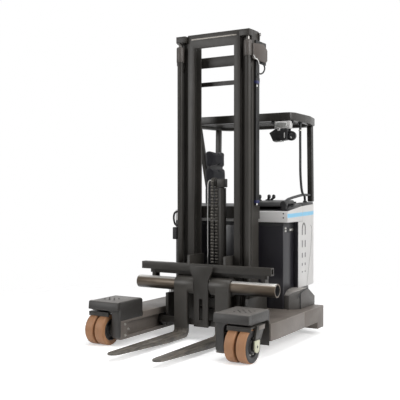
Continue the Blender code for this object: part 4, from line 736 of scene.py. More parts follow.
def material(name):
    """A finish by its name, made the first time that a piece asks for it."""
    found = bpy.data.materials.get(name)
    if found:
        return found
    tone = colours()
    makers = {
        "charcoal paint": lambda: painted(name, tone.charcoal),
        # Edge finishes: lighter copies of their paint, for wear and a painted highlight on the rounded
        # edges.
        "charcoal edge": lambda: worn_and_highlit_edge(name, tone.charcoal),
        "mast edge": lambda: worn_and_highlit_edge(name, tone.charcoal, 4.2),
        # Darker copies of the charcoal for the guard and the left pillar: painted shade.
        "guard paint": lambda: painted(name, shade(tone.charcoal, 0.8), (0.30, 0.44)),
        "pillar paint": lambda: painted(name, shade(tone.charcoal, 0.7), (0.34, 0.48)),
        "fork paint": lambda: fork_paint(name, tone.charcoal),
        "chassis paint": lambda: painted(name, tone.chassis, scuffs=0.35),
        "chassis edge": lambda: worn_and_highlit_edge(name, tone.chassis, 1.7),
        "cover coating": lambda: coated(name, tone.covers),
        "cover edge": lambda: worn_and_highlit_edge(name, tone.covers, 2.2),
        # The fenders take the covers' coating painted 2.6 times lighter: a painted lit copy.
        "lit fender coating": lambda: coated(name, shade(tone.covers, 2.6)),
        "battery coating": lambda: painted(name, tone.battery, (0.26, 0.38), scuffs=0.10, specular=0.6),
        "battery edge": lambda: worn_and_highlit_edge(name, tone.battery, 1.8),
        "pale panel": lambda: moulded(name, tone.panel),
        "striped panel": lambda: striped_panel(name, tone.panel, tone.stripe),
        # The recesses' floors: the panel's moulding painted darker, a painted shade in the hollows.
        "recess shade grey": lambda: moulded(name, shade(tone.panel, 0.30)),
        "black moulding": lambda: moulded(name, tone.black, (0.45, 0.62)),
        "hood top": lambda: moulded(name, shade(tone.black, 1.4), (0.36, 0.50)),
        "rail moulding": lambda: moulded(name, shade(tone.black, 1.3), (0.34, 0.48)),
        "console lid": lambda: moulded(name, (0.060, 0.060, 0.060), (0.34, 0.48)),
        "white hose": lambda: moulded(name, (0.72, 0.72, 0.70)),
        "hose band": lambda: moulded(name, tone.hose_band),
        "grey cap": lambda: painted(name, (0.085, 0.075, 0.068), (0.34, 0.5), 12.0, 0.3, 500.0),
        "pale strip": lambda: painted(name, (0.42, 0.39, 0.35), (0.30, 0.45), 16.0, 0.2, 500.0),
        "brown grease": lambda: painted(name, (0.070, 0.056, 0.047), (0.34, 0.5), 9.0, 0.35, 300.0),
        "cast rim": lambda: painted(name, tone.rim, (0.40, 0.60), 8.0, 0.2, 260.0),
        "keeper plate": lambda: painted(name, tone.keeper, (0.34, 0.50), 30.0, 0.2, 500.0),
        "hose rubber": lambda: painted(name, (0.014, 0.014, 0.014), (0.45, 0.62), 12.0, 0.1, 600.0),
        "lamp shell": lambda: painted(name, (0.55, 0.54, 0.53), (0.26, 0.40), 14.0, 0.1, 500.0),
        "shaft steel": lambda: shaft_steel(name),
        "rod bright": lambda: bright_steel(name, (0.80, 0.79, 0.77), (0.25, 0.40)),
        "bright rod": lambda: bright_steel(name, (0.62, 0.60, 0.57), (0.12, 0.24), (9.0, 9.0, 0.5)),
        "zinc": lambda: bright_steel(name, (0.60, 0.59, 0.55), (0.30, 0.45)),
        "oiled steel": lambda: oiled_steel(name, (0.060, 0.056, 0.050)),
        "tan tread": lambda: polyurethane(name, tone.tyre),
        "seat cloth": lambda: woven(name, tone.cloth),
        "lamp lens": lambda: lamp_lens(name, (0.62, 0.62, 0.60)),
    }
    return makers[name]()


def rounded_outline(middle, width, height, radius, steps=5):
    """A rectangle with round corners about a middle point."""
    points = []
    for quarter, (right, up) in enumerate(((1, 1), (-1, 1), (-1, -1), (1, -1))):
        first = middle[0] + right * (width / 2 - radius)
        second = middle[1] + up * (height / 2 - radius)
        for step in range(steps + 1):
            angle = math.pi / 2 * (quarter + step / steps)
            points.append((first + radius * math.cos(angle), second + radius * math.sin(angle)))
    return points


def tread_profile(inner, outer, half, shoulder, steps=4):
    """A tyre's section with round shoulders, between its seat and its tread."""
    points = [(inner, -half)]
    flank = half - shoulder
    for step in range(steps + 1):
        angle = math.pi / 2 * step / steps
        out = outer - shoulder + shoulder * math.sin(angle)
        points.append((out, -flank - shoulder * math.cos(angle)))
    for step in range(steps + 1):
        angle = math.pi / 2 * step / steps
        out = outer - shoulder + shoulder * math.cos(angle)
        points.append((out, flank + shoulder * math.sin(angle)))
    points.append((inner, half))
    return points


class TRUCK_OT_chassis(bpy.types.Operator):
    """Wheel arms and rear frame with plate edges that are rubbed and carry a painted highlight, and the
    bolts of the rollers' tracks
    """

    bl_idname = "reach_truck.chassis"
    bl_label = "Chassis"

    def execute(self, context):
        for node in ("wheel_arm_left", "wheel_arm_right", "rear_frame"):
            dress(node, "chassis paint", "chassis edge", sizes().plate_edge)
        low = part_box("wheel_arm_left")[0]
        spots = ((0.06, 0.200), (0.11, 0.150), (0.06, 0.100))
        track_bolts = bolts([(low.x, low.y + back, z) for back, z in spots], (-1, 0, 0), sizes().bolt)
        both_sides(track_bolts, "track_bolts", "truck", "bright_steel", "zinc")
        return {"FINISHED"}


# Studs on the wheel covers, in metres
STUD_HEIGHT = 0.0030
STUD_SPACING = 0.055
STUD_ROW = 0.036


class TRUCK_OT_wheel_covers(bpy.types.Operator):
    """Covers over the load wheels, with raised studs on their tops"""

    bl_idname = "reach_truck.wheel_covers"
    bl_label = "Wheel covers"

    def execute(self, context):
        for node in ("wheel_cover_left", "wheel_cover_right"):
            dress(node, "cover coating", "cover edge", sizes().thin_edge, 2, 50.0)
        low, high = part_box("wheel_cover_left")
        front = [
            (low.y + 0.020, high.z - 0.0004),
            (low.y - 0.014, high.z - 0.002),
            (low.y - 0.024, high.z - 0.012),
            (low.y - 0.030, high.z - 0.078),
            (low.y + 0.020, high.z - 0.078),
        ]
        brow = swept(front, "X", low.x + 0.0004, high.x - 0.0004, 0.004, 3)
        both_sides(brow, "cover_brow", "truck", "cover_paint", "cover coating", angle=40)
        x = (low.x + high.x) / 2 + 0.02
        y = low.y + 0.10
        foot = (x, y, high.z - 0.001)
        stud = rod(foot, (x, y, high.z + STUD_HEIGHT), sizes().stud / 2, 16, 0.0012)
        studs = []
        for row in range(4):
            for column in range(3):
                shift = ((column - 1 + (row % 2) * 0.5) * STUD_SPACING, row * STUD_ROW, 0)
                studs.append(copied(stud, shift))
        both_sides(joined(stud, *studs), "step_studs", "truck", "cover_paint", "cover edge")
        return {"FINISHED"}


class TRUCK_OT_fenders(bpy.types.Operator):
    """Fenders at the foot of the battery, each with its seam and a black rim"""

    bl_idname = "reach_truck.fenders"
    bl_label = "Fenders"

    def execute(self, context):
        for node in ("fender_left", "fender_right"):
            dress(node, "lit fender coating", "cover edge", sizes().plate_edge)
        low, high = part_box("fender_left")
        height = (low.z + 0.004, high.z - 0.034)
        seam = cuboid((high.x - 0.004, high.x + 0.0008), (0.412, 0.418), height, 0.0005)
        both_sides(seam, "fender_seam", "truck", "black_plastic", "black moulding")
        x = high.x - 0.002
        line = [
            (x, low.y + 0.006, low.z + 0.118),
            (x, low.y + 0.060, low.z + 0.148),
            (x, 0.560, high.z - 0.006),
            (x, 0.600, high.z - 0.002),
        ]
        both_sides(pipe(line, 0.0045, 2), "fender_rim", "truck", "black_plastic", "black moulding")
        return {"FINISHED"}


# Bogies, in metres: the arm's half width, and the lip over the tyres
BOGIE_ARM_OUTER = 0.132
BOGIE_LIP_REACH = 0.064
BOGIE_LIP_BOTTOM = 0.268
BOGIE_LIP_TOP = 0.308
BOGIE_LIP_THICKNESS = 0.014


class TRUCK_OT_bogies(bpy.types.Operator):
    """Bogies of the load wheels, with a lip over the tyres and the keepers that hold the axles"""

    bl_idname = "reach_truck.bogies"
    bl_label = "Bogies"

    def execute(self, context):
        axle = Vector(PIVOT_OF["left_load_wheels"])
        arm = axle.x + BOGIE_ARM_OUTER
        for node in ("bogie_left", "bogie_right"):
            piece = bare_copy(node)
            for vertex in piece.data.vertices:
                if abs(vertex.co.x) > arm + 0.0003:
                    vertex.co.x = math.copysign(arm - 0.002, vertex.co.x)
            coat(piece, node, "charcoal paint", "charcoal edge", 0.002)
        self.lip(axle, arm)
        self.keeper(axle, arm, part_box("bogie_left")[1].x)
        height = (BOGIE_LIP_BOTTOM + 0.006, BOGIE_LIP_TOP)
        pad = cuboid((arm - 0.002, arm + 0.004), (axle.y + 0.040, axle.y + 0.150), height, 0.002)
        self.add(pad, "bogie_arm_pad", "dark_paint", "chassis paint")
        return {"FINISHED"}

    def add(self, piece, name, slot, finish, angle=35.0):
        both_sides(piece, name, ("left_bogie", "right_bogie"), slot, finish, angle)

    def lip(self, axle, arm):
        width = (axle.x - BOGIE_ARM_OUTER + 0.020, arm - 0.020)
        front = axle.y - BOGIE_LIP_REACH
        shelf = cuboid(width, (front, axle.y + 0.030), (BOGIE_LIP_TOP - BOGIE_LIP_THICKNESS, BOGIE_LIP_TOP))
        lip = cuboid(width, (front, front + BOGIE_LIP_THICKNESS), (BOGIE_LIP_BOTTOM, BOGIE_LIP_TOP - 0.004))
        guard = rounded(carved(shelf, lip, "UNION"), sizes().plate_edge, 2, 40.0)
        self.add(guard, "bogie_lip", "dark_paint", "charcoal paint", 40)

    def keeper(self, axle, arm, face):
        """The plate on the arm's outer side that holds the axle, with a black disc painted as the shade in
        its hole, and its bolts.
        """
        plate = swept(self.keeper_outline(axle.y, axle.z), "X", arm - 0.003, face - 0.0006, 0.002)
        self.add(plate, "axle_keeper", "dark_paint", "keeper plate")
        z = axle.z + 0.004
        # A black disc on the plate: painted shade in the axle's hole.
        hole_shade = rod((face - 0.004, axle.y, z), (face - 0.0002, axle.y, z), 0.011)
        self.add(hole_shade, "keeper_hole_shade", "black_plastic", "black moulding")
        spots = [(face - 0.008, axle.y + along, axle.z + 0.038) for along in (-0.034, 0.034)]
        self.add(bolts(spots, (1, 0, 0), sizes().small_bolt), "keeper_bolts", "bright_steel", "zinc")

    def keeper_outline(self, y, z, half=0.046, rise=0.056, steps=10):
        """A flat top and a round foot about the axle."""
        points = [(y + half, z + rise), (y - half, z + rise)]
        for step in range(steps + 1):
            angle = math.pi + math.pi * step / steps
            points.append((y + half * math.cos(angle), z + half * math.sin(angle)))
        return points


# Load wheels, in metres: the width taken off each side of a tread, and the nuts' circle
TYRE_GAP = 0.006
NUTS = 8
NUT_CIRCLE = 0.072


class TRUCK_OT_load_wheels(bpy.types.Operator):
    """Twin load wheels: treads with round shoulders on dished rims"""

    bl_idname = "reach_truck.load_wheels"
    bl_label = "Load wheels"

    def execute(self, context):
        for label, side in SIDES:
            body = f"{label}_load_wheels"
            axle = Vector(PIVOT_OF[body])
            hub = f"load_wheel_hub_{label}"
            hub_low, hub_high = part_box(hub)
            for place in ("outer", "inner"):
                node = f"{place}_load_tyre_{label}"
                low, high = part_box(node)
                half = (high.x - low.x) / 2 - TYRE_GAP
                seat = (hub_high.z - hub_low.z) / 2 + 0.0003
                profile = tread_profile(seat, (high.z - low.z) / 2, half, 0.011)
                tyre = spun(profile, ((low.x + high.x) / 2, axle.y, axle.z), "X", 64)
                finished(tyre, f"{node}_tread", body, "tan_tyre", material("tan tread"), angle=50)
                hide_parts(node)
            dress(hub, "cast rim", None, sizes().thin_edge, 2, 40.0)
            low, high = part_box(f"outer_load_tyre_{label}")
            face = high.x - TYRE_GAP if side == LEFT else low.x + TYRE_GAP
            self.flange(label, side, body, (face, axle.y, axle.z))
            outer = (hub_high.x if side == LEFT else hub_low.x) - side * 0.020
            turns = [2 * math.pi * (step + 0.5) / NUTS for step in range(NUTS)]
            places = [
                (outer, axle.y + NUT_CIRCLE * math.cos(turn), axle.z + NUT_CIRCLE * math.sin(turn))
                for turn in turns
            ]
            nuts = bolts(places, (side, 0, 0), sizes().small_bolt)
            finished(nuts, f"rim_nuts_{label}", body, "wheel_hub", material("zinc"))
        return {"FINISHED"}

    def flange(self, label, side, body, centre):
        """The dished flange of a rim, which faces away from the truck."""
        section = [
            (0.090, -0.010), (0.1335, -0.001), (0.1335, 0.0035),
            (0.128, 0.006), (0.104, 0.005), (0.090, 0.001),
        ]
        ring = spun(section, centre, "X", 64)
        if side == RIGHT:
            for vertex in ring.data.vertices:
                vertex.co.x = 2 * centre[0] - vertex.co.x
            edit(ring)
            bpy.ops.mesh.normals_make_consistent(inside=False)
            leave()
        finished(ring, f"rim_flange_{label}", body, "wheel_hub", material("cast rim"), angle=40)


# Drive wheel, in metres
DRIVE_RIM_RADIUS = 0.128
DRIVE_DISC_RADIUS = 0.105
DRIVE_BORE_RADIUS = 0.0502


class TRUCK_OT_drive(bpy.types.Operator):
    """The drive wheel and its turning unit under the driver's floor"""

    bl_idname = "reach_truck.drive"
    bl_label = "Drive wheel"

    def execute(self, context):
        dress("drive_unit", "cast rim", None, sizes().plate_edge)
        axle = Vector(PIVOT_OF["drive_tyre"])
        low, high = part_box("drive_wheel")
        half = (high.x - low.x) / 2
        profile = tread_profile(DRIVE_RIM_RADIUS + 0.0005, (high.z - low.z) / 2, half, 0.012)
        tyre = spun(profile, axle, "X", 64)
        finished(tyre, "drive_tread", "drive_tyre", "tan_tyre", material("tan tread"), angle=50)
        steps = (
            (DRIVE_BORE_RADIUS, half - 0.010), (DRIVE_DISC_RADIUS, half - 0.010),
            (DRIVE_DISC_RADIUS + 0.007, half - 0.001), (DRIVE_RIM_RADIUS, half - 0.001),
        )
        section = [(radius, -out) for radius, out in steps] + list(reversed(steps))
        rim = spun(section, axle, "X", 64)
        finished(rim, "drive_rim", "drive_tyre", "wheel_hub", material("cast rim"))
        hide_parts("drive_wheel")
        return {"FINISHED"}


class TRUCK_OT_battery(bpy.types.Operator):
    """The battery case with its latch, its lock pin and a black strip painted as the shade in the gap under
    the hood
    """

    bl_idname = "reach_truck.battery"
    bl_label = "Battery"

    def execute(self, context):
        dress("battery", "battery coating", "battery edge", sizes().thin_edge, 2, 60.0)
        low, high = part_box("battery")
        # A black strip along the battery's top: painted shade in the gap under the hood.
        height = (high.z - 0.036, high.z - 0.0005)
        lid = cuboid((low.x, high.x + 0.002), (low.y - 0.002, WALL_FRONT), height, 0.002)
        moulding(lid, "battery_top_shade_strip")
        side = high.x
        # A black plate on the case's side: painted shade in the latch's recess.
        recess_shade = cuboid((side - 0.001, side + 0.0015), (0.420, 0.580), (1.015, 1.075), 0.0007)
        moulding(recess_shade, "battery_latch_recess_shade")
        grip = cuboid((side + 0.001, side + 0.010), (0.4535, 0.5468), (1.029, 1.051), 0.004)
        finished(grip, "battery_latch_grip", "truck", "bright_steel", material("zinc"))
        heights = ((1.023, 1.042), (1.050, 1.069))
        pins = [cuboid((side - 0.001, side + 0.008), (0.345, 0.385), z, 0.004) for z in heights]
        finished(joined(*pins), "battery_lock_pins", "truck", "bright_steel", material("zinc"))
        moulding(rod((side, 0.572, 1.053), (side + 0.006, 0.572, 1.053), 0.011, 20, 0.001), "battery_lock")
        return {"FINISHED"}


# Body, in metres: the shell stands proud of the battery on both sides
BODY_HALF_WIDTH = 0.661
HOOD_OVERHANG = 0.008
HOOD_FRONT_TOP = 1.223
HOOD_SLOPE = 0.125
HOOD_TOP_INSET = 0.007
WALL_FRONT = 0.5775
WALL_THICKNESS = 0.025
WALL_MIDDLE_TOP = 1.283
WALL_REAR_TOP = 1.288
TAPER_START = 0.9375
TAPER_END = 1.1875
TAPER_HALF_WIDTH = 0.575
LEDGE_WIDTH = 0.100
VENT_Y = 0.6775
VENT_SPACING = 0.075
VENT_TOP = 1.040
VENT_WIDTH = 0.022
VENT_GAP = 0.053
VENT_LENGTHS = (0.061, 0.071, 0.050, 0.028, 0.014)
VENT_ARCH_RISE = 0.055


class TRUCK_OT_body(bpy.types.Operator):
    """Hood, side walls with their vents, ledges, seat base and the driver's floor"""

    bl_idname = "reach_truck.body"
    bl_label = "Body"

    def execute(self, context):
        striped = material("striped panel")
        hood_low, hood_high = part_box("hood")
        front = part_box("battery")[0].y - HOOD_OVERHANG
        rear = hood_high.y
        side_top = HOOD_FRONT_TOP + (rear - front) * HOOD_SLOPE
        outline = [(front, hood_low.z), (rear, hood_low.z), (rear, side_top), (front, HOOD_FRONT_TOP)]
        shell = swept(outline, "X", hood_low.x, BODY_HALF_WIDTH, 0.005, 3)
        finished(shell, "hood_shell", "truck", "hood_grey", striped)
        tray = bare_copy("hood")
        for vertex in tray.data.vertices:
            if vertex.co.x > 0:
                vertex.co.x *= (BODY_HALF_WIDTH - HOOD_TOP_INSET) / hood_high.x
            else:
                vertex.co.x *= (-hood_low.x - HOOD_TOP_INSET) / -hood_low.x
        trimmed(tray, (0, front, HOOD_FRONT_TOP - 0.002), (0, HOOD_SLOPE, -1))
        moulding(rounded(tray, 0.004, 2, 40.0), "hood_top", "hood top")
        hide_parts("hood")
        screws = [
            rod((0.616, front + 0.001, z), (0.616, front - 0.0025, z), 0.0075, 16, 0.0007)
            for z in (1.1627, 1.2021)
        ]
        moulding(joined(*screws), "hood_screws")

        self.left_wall(front, striped)
        self.right_wall(material("pale panel"))
        self.ledge(side_top)
        dress("drive_housing", "cover coating", "cover edge", sizes().plate_edge, 2, 50.0)
        dress("seat_base", "black moulding", None, sizes().moulding_edge, 3)
        low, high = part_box("drive_housing")
        mat = cuboid((-0.30, 0.36), (low.y + 0.13, high.y - 0.06), (high.z - 0.001, high.z + 0.004), 0.002)
        moulding(mat, "floor_mat")
        return {"FINISHED"}

    def plan(self, inset, front):
        """The wall's line seen from above, from its front edge round to the rear corner."""
        return [
            (BODY_HALF_WIDTH - inset, front),
            (BODY_HALF_WIDTH - inset, TAPER_START),
            (BODY_HALF_WIDTH - 0.022 - inset, TAPER_START + 0.095),
            (TAPER_HALF_WIDTH - inset, TAPER_END),
            (TAPER_HALF_WIDTH - 0.040 - inset, TAPER_END + 0.070),
        ]

    def wall(self, front, bottom, top):
        outline = self.plan(0, front) + self.plan(WALL_THICKNESS, front)[::-1]
        return swept(outline, "Z", bottom, top)

    def left_wall(self, hood_front, finish):
        low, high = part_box("body_panel_left")
        battery_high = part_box("battery")[1]
        step = battery_high.z - 0.001
        side = swept(
            [
                (WALL_FRONT - 0.05, low.z - 0.05),
                (WALL_FRONT - 0.05, step),
                (low.y, step),
                (low.y, HOOD_FRONT_TOP + (low.y - hood_front) * HOOD_SLOPE),
                (TAPER_START, WALL_MIDDLE_TOP),
                (high.y + 0.05, WALL_REAR_TOP),
                (high.y + 0.05, low.z - 0.05),
            ],
            "X",
            0.3,
            0.9,
        )
        wall = carved(self.wall(WALL_FRONT, low.z, high.z), side, "INTERSECT")
        wall = self.recessed(wall, self.groove(), "wall_groove", 0.0018, 60)
        wall = self.recessed(wall, self.arch(), "vent_arch", 0.0030, 60)
        wall = self.recessed(wall, self.slots(), "vent_slots", 0.0085, 35)
        rounded(wall, sizes().thin_edge, 2, 60.0)
        # A dark sheet over the wall's front edge: painted shade of the gap between the wall and the battery.
        edge_shade_sheet = cuboid(
            (battery_high.x + 0.001, BODY_HALF_WIDTH - 0.001),
            (WALL_FRONT - 0.010, WALL_FRONT - 0.0003),
            (low.z + 0.0004, battery_high.z - 0.0006),
            0.002,
        )
        moulding(edge_shade_sheet, "wall_edge_shade_sheet", "battery coating")
        finished(wall, "side_wall_left", "truck", "panel_grey", finish, angle=30)
        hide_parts("body_panel_left")

    def recessed(self, wall, form, name, depth, angle):
        """Cuts a form into the wall, with a copy of it set deeper as its floor, in the panel's moulding
        painted darker as shade.
        """
        floor = copied(form, (-depth, 0, 0))
        finished(floor, name, "truck", "panel_grey", material("recess shade grey"), angle=angle)
        return carved(wall, form)

    def groove(self):
        """The curved groove behind the vents."""
        line = (
            (0.8945, 1.071), (0.9200, 1.050), (0.9280, 0.985),
            (0.8930, 0.800), (0.8025, 0.485), (0.7950, 0.440),
        )
        return pipe([(BODY_HALF_WIDTH, y, z) for y, z in line], 0.0035, 2)

    def arch(self, steps=8):
        """The arch over the two rows of vents."""
        points = []
        for step in range(steps + 1):
            angle = math.pi * step / steps
            y = VENT_Y + VENT_SPACING / 2 + VENT_SPACING / 2 * math.cos(angle)
            points.append((BODY_HALF_WIDTH, y, VENT_TOP + VENT_ARCH_RISE * math.sin(angle)))
        return pipe(points, 0.0095, 2)

    def slots(self):
        """Two rows of slots, which get shorter downwards."""
        made = []
        for y in (VENT_Y, VENT_Y + VENT_SPACING):
            top = VENT_TOP
            for length in VENT_LENGTHS:
                corner = min(VENT_WIDTH, length) * 0.38
                outline = rounded_outline((y, top - length / 2), VENT_WIDTH, length, corner, 3)
                made.append(swept(outline, "X", BODY_HALF_WIDTH - 0.006, BODY_HALF_WIDTH + 0.010))
                top -= length + VENT_GAP
        return joined(*made)

    def right_wall(self, finish):
        low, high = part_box("body_panel_right")
        wall = self.wall(low.y, low.z, high.z)
        wall.scale = (-1, 1, 1)
        settle(wall)
        edit(wall)
        bpy.ops.mesh.normals_make_consistent(inside=False)
        leave()
        rounded(wall, sizes().plate_edge, 3, 50.0)
        finished(wall, "side_wall_right", "truck", "panel_grey", finish)
        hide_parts("body_panel_right")

    def ledge(self, side_top):
        """The dark rail along the left wall's top, on which the pillar and the hand rail stand."""
        low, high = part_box("body_panel_left")
        inset = sizes().moulding_edge
        outline = self.plan(inset, low.y) + self.plan(inset + LEDGE_WIDTH, low.y)[::-1]
        ledge = swept(outline, "Z", side_top - 0.004, high.z)
        trimmed(ledge, (0, low.y, side_top - 0.003), (0, 0.055, -1))
        trimmed(ledge, (0, low.y, high.z - 0.009), (0, -0.060, 1))
        moulding(rounded(ledge, 0.004, 2, 40.0), "wall_ledge", "hood top")


# Lever console: the height of its top, and each lever's x, y and lean, in metres
CONSOLE_TOP = 1.318
LEVERS = ((0.290, 0.470, 0.0), (0.330, 0.560, 0.020), (0.345, 0.585, 0.045))


class TRUCK_OT_controls(bpy.types.Operator):
    """The lever console and the steering console"""

    bl_idname = "reach_truck.controls"
    bl_label = "Controls"

    def execute(self, context):
        top = CONSOLE_TOP
        console = bare_copy("control_console")
        trimmed(console, (0, 0, top), (0, 0, 1))
        rounded(console, sizes().plate_edge, 2, 40.0)
        section = [
            (0.385, top - 0.030), (0.385, top - 0.010), (0.420, top + 0.002),
            (0.640, top + 0.012), (0.675, top + 0.004), (0.675, top - 0.030),
        ]
        moulding(swept(section, "X", 0.285, 0.575, 0.006, 3), "console_lid", "console lid")
        moulding(console, "console_body")
        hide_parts("control_console")
        knob = [(0, -0.020), (0.013, -0.018), (0.018, -0.004), (0.017, 0.012), (0.010, 0.022), (0, 0.024)]
        collar = [(0, 0), (0.026, 0), (0.020, 0.012), (0.010, 0.020), (0, 0.020)]
        levers = []
        for x, y, lean in LEVERS:
            levers.append(rod((x, y, top), (x + lean, y, top + 0.036), 0.012, 14))
            levers.append(spun(knob, (x + lean, y, top + 0.044), "Z", 20))
            levers.append(spun(collar, (x, y, top), "Z", 20))
        moulding(joined(*levers), "console_levers", angle=50)
        dress("steering_console", "black moulding", None, sizes().plate_edge, 2, 40.0)
        x, y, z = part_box("control_console")[0]
        screen = cuboid((x - 0.10, x - 0.03), (y + 0.11, y + 0.13), (z + 0.012, z + 0.10), 0.006)
        foot = cuboid((x - 0.08, x - 0.05), (y + 0.112, y + 0.128), (z - 0.01, z + 0.02), 0.002)
        moulding(joined(screen, foot), "console_display")
        return {"FINISHED"}


# Overhead guard, in metres: its roof, the rear pillars' feet and the hand rail
GUARD_FRONT = 0.4375
GUARD_REAR = 1.3175
GUARD_TAPER = 0.8975
GUARD_HALF_WIDTH = 0.656
GUARD_DEPTH = 0.080
GUARD_BEAM = 0.070
GUARD_BARS = 8
PILLAR_X = 0.566
PILLAR_Y = 1.1375
PILLAR_WIDTH = 0.056
PILLAR_EDGE = 0.010
SEAT_GAP = 0.0003
RAIL_X = 0.600
RAIL_LUG_Y = 0.366


class TRUCK_OT_guard(bpy.types.Operator):
    """The overhead guard: its roof beam and bars, posts, pillars and the hand rail"""

    bl_idname = "reach_truck.guard"
    bl_label = "Overhead guard"

    def execute(self, context):
        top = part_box("guard_frame")[1].z
        bottom = top - GUARD_DEPTH
        roof = swept(self.outline(0), "Z", bottom, top)
        roof = carved(roof, swept(self.outline(GUARD_BEAM), "Z", bottom - 0.02, top + 0.02))
        bars = []
        first = GUARD_FRONT + GUARD_BEAM
        pitch = (GUARD_REAR - GUARD_BEAM - first) / (GUARD_BARS + 1)
        for index in range(GUARD_BARS):
            y = first + pitch * (index + 1)
            half = GUARD_HALF_WIDTH - GUARD_BEAM / 2 - 0.020 - max(0.0, y - GUARD_TAPER) * 0.24
            bars.append(cuboid((-half, half), (y - 0.015, y + 0.015), (top - 0.052, top - 0.004), 0.004))
        roof = joined(rounded(roof, sizes().moulding_edge, 3, 40.0), *bars)
        finished(roof, "guard_roof", "truck", "frame_paint", material("guard paint"), angle=30)
        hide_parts("guard_frame")
        side = (GUARD_HALF_WIDTH - 0.006, GUARD_HALF_WIDTH + 0.0002)
        seam = cuboid(side, (0.735, 0.741), (bottom, top))
        both_sides(seam, "guard_seam", "truck", "black_plastic", "black moulding")

        head = bottom - SEAT_GAP
        for node in ("guard_post_left", "guard_post_right"):
            low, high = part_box(node)
            post = cuboid((low.x, high.x), (low.y, high.y), (low.z + SEAT_GAP, head), 0.006, 3)
            finished(post, f"{node}_tube", "truck", "frame_paint", material("charcoal paint"))
            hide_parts(node)

        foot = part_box("guard_pillar_left")[0].z
        pillar = slanted((PILLAR_X, PILLAR_Y, foot), (PILLAR_X - 0.010, PILLAR_Y, head), PILLAR_WIDTH)
        finished(pillar, "pillar_left", "truck", "frame_paint", material("pillar paint"))
        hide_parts("guard_pillar_left")
        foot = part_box("guard_pillar_right")[0].z
        rear = slanted((-PILLAR_X, PILLAR_Y, foot), (0.016 - PILLAR_X, PILLAR_Y, head), PILLAR_WIDTH)
        front = slanted((-0.572, 1.1200, foot + 0.002), (-0.600, 0.7860, head), PILLAR_WIDTH - 0.004)
        limbs = joined(rear, front)
        finished(limbs, "pillar_right", "truck", "frame_paint", material("charcoal paint"))
        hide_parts("guard_pillar_right")
        self.hand_rail(bottom)
        self.lug()
        return {"FINISHED"}

    def outline(self, inset):
        """Half of the roof's plan, mirrored: square front corners cut off, and a taper to the rear."""
        half = [
            (GUARD_HALF_WIDTH - 0.072 - inset * 0.6, GUARD_FRONT + inset),
            (GUARD_HALF_WIDTH - 0.030 - inset, GUARD_FRONT + 0.014 + inset * 0.9),
            (GUARD_HALF_WIDTH - inset, GUARD_FRONT + 0.072 + inset * 0.4),
            (GUARD_HALF_WIDTH - inset, GUARD_TAPER),
            (0.600 - inset, 1.1575),
            (0.500 - inset, GUARD_REAR - inset),
        ]
        return half + [(-x, y) for x, y in half[::-1]]

    def hand_rail(self, top):
        """The rail down from the roof to the ledge, and the one along the hood's side."""
        x = RAIL_X
        foot_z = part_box("hand_rail")[0].z
        down = [
            (x + 0.012, 0.7375, top - 0.006), (x + 0.006, 0.7525, 1.850), (x, 0.7925, 1.480),
            (x - 0.004, 0.8375, 1.400), (x - 0.012, 0.9075, 1.372), (x - 0.022, 0.9425, 1.345),
            (x - 0.022, 0.9475, foot_z + 0.008),
        ]
        along = [
            (x, 0.3700, 1.300), (x, 0.4300, 1.330), (x, 0.5095, 1.346), (x, 0.6575, 1.364),
            (x - 0.004, 0.7625, 1.374), (x - 0.020, 0.9000, 1.380), (x - 0.030, 1.0600, 1.378),
            (x - 0.034, 1.1300, 1.376),
        ]
        tube = pipe(down, 0.0125)
        foot = rod((x - 0.022, 0.9475, foot_z), (x - 0.022, 0.9475, foot_z + 0.016), 0.022, 24, 0.003)
        head = (x + 0.012, 0.7375, top - SEAT_GAP)
        flange = rod((x + 0.012, 0.7375, top - 0.014), head, 0.024, 24, 0.003)
        whole = joined(tube, foot, flange, pipe(along, 0.0135))
        moulding(whole, "grab_rail", "rail moulding", angle=50)
        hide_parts("hand_rail")
        section = [(0.0135, -0.008), (0.0175, -0.006), (0.0175, 0.006), (0.0135, 0.008)]
        ring = spun(section, (x + 0.0115, 0.7390, top - 0.078), "Z", 24)
        finished(ring, "rail_ring", "truck", "bright_steel", material("zinc"), angle=50)

    def lug(self):
        """The lug that the rail starts from, and the stop beside it on the hood."""
        x = RAIL_X
        y = RAIL_LUG_Y
        section = [(0, -0.024), (0.030, -0.024), (0.036, -0.016), (0.036, 0.012), (0.026, 0.024), (0, 0.024)]
        knob = spun(section, (x, y, 1.290), "Y", 28)
        stem = cuboid((x - 0.026, x + 0.026), (y - 0.022, y + 0.022), (1.236, 1.290), 0.004)
        moulding(joined(knob, stem), "rail_lug", angle=40)
        section = [(0, 0), (0.016, 0), (0.016, 0.012), (0.008, 0.020), (0, 0.020)]
        moulding(spun(section, (x + 0.010, 0.560, 1.279), "Z", 20), "hood_stop", angle=40)


def slanted(foot, head, width):
    """A square tube between two heights, with its ends level."""
    half = width / 2
    post = cuboid(
        (foot[0] - half, foot[0] + half), (foot[1] - half, foot[1] + half), (foot[2], head[2])
    )
    for vertex in post.data.vertices:
        if vertex.co.z > (foot[2] + head[2]) / 2:
            vertex.co.x += head[0] - foot[0]
            vertex.co.y += head[1] - foot[1]
    return rounded(post, PILLAR_EDGE, 3, 40.0)


# Lamps, in metres: the height of their bracket and its place along the truck
LAMP_TOP = 2.1097
LAMP_Y = 0.4675


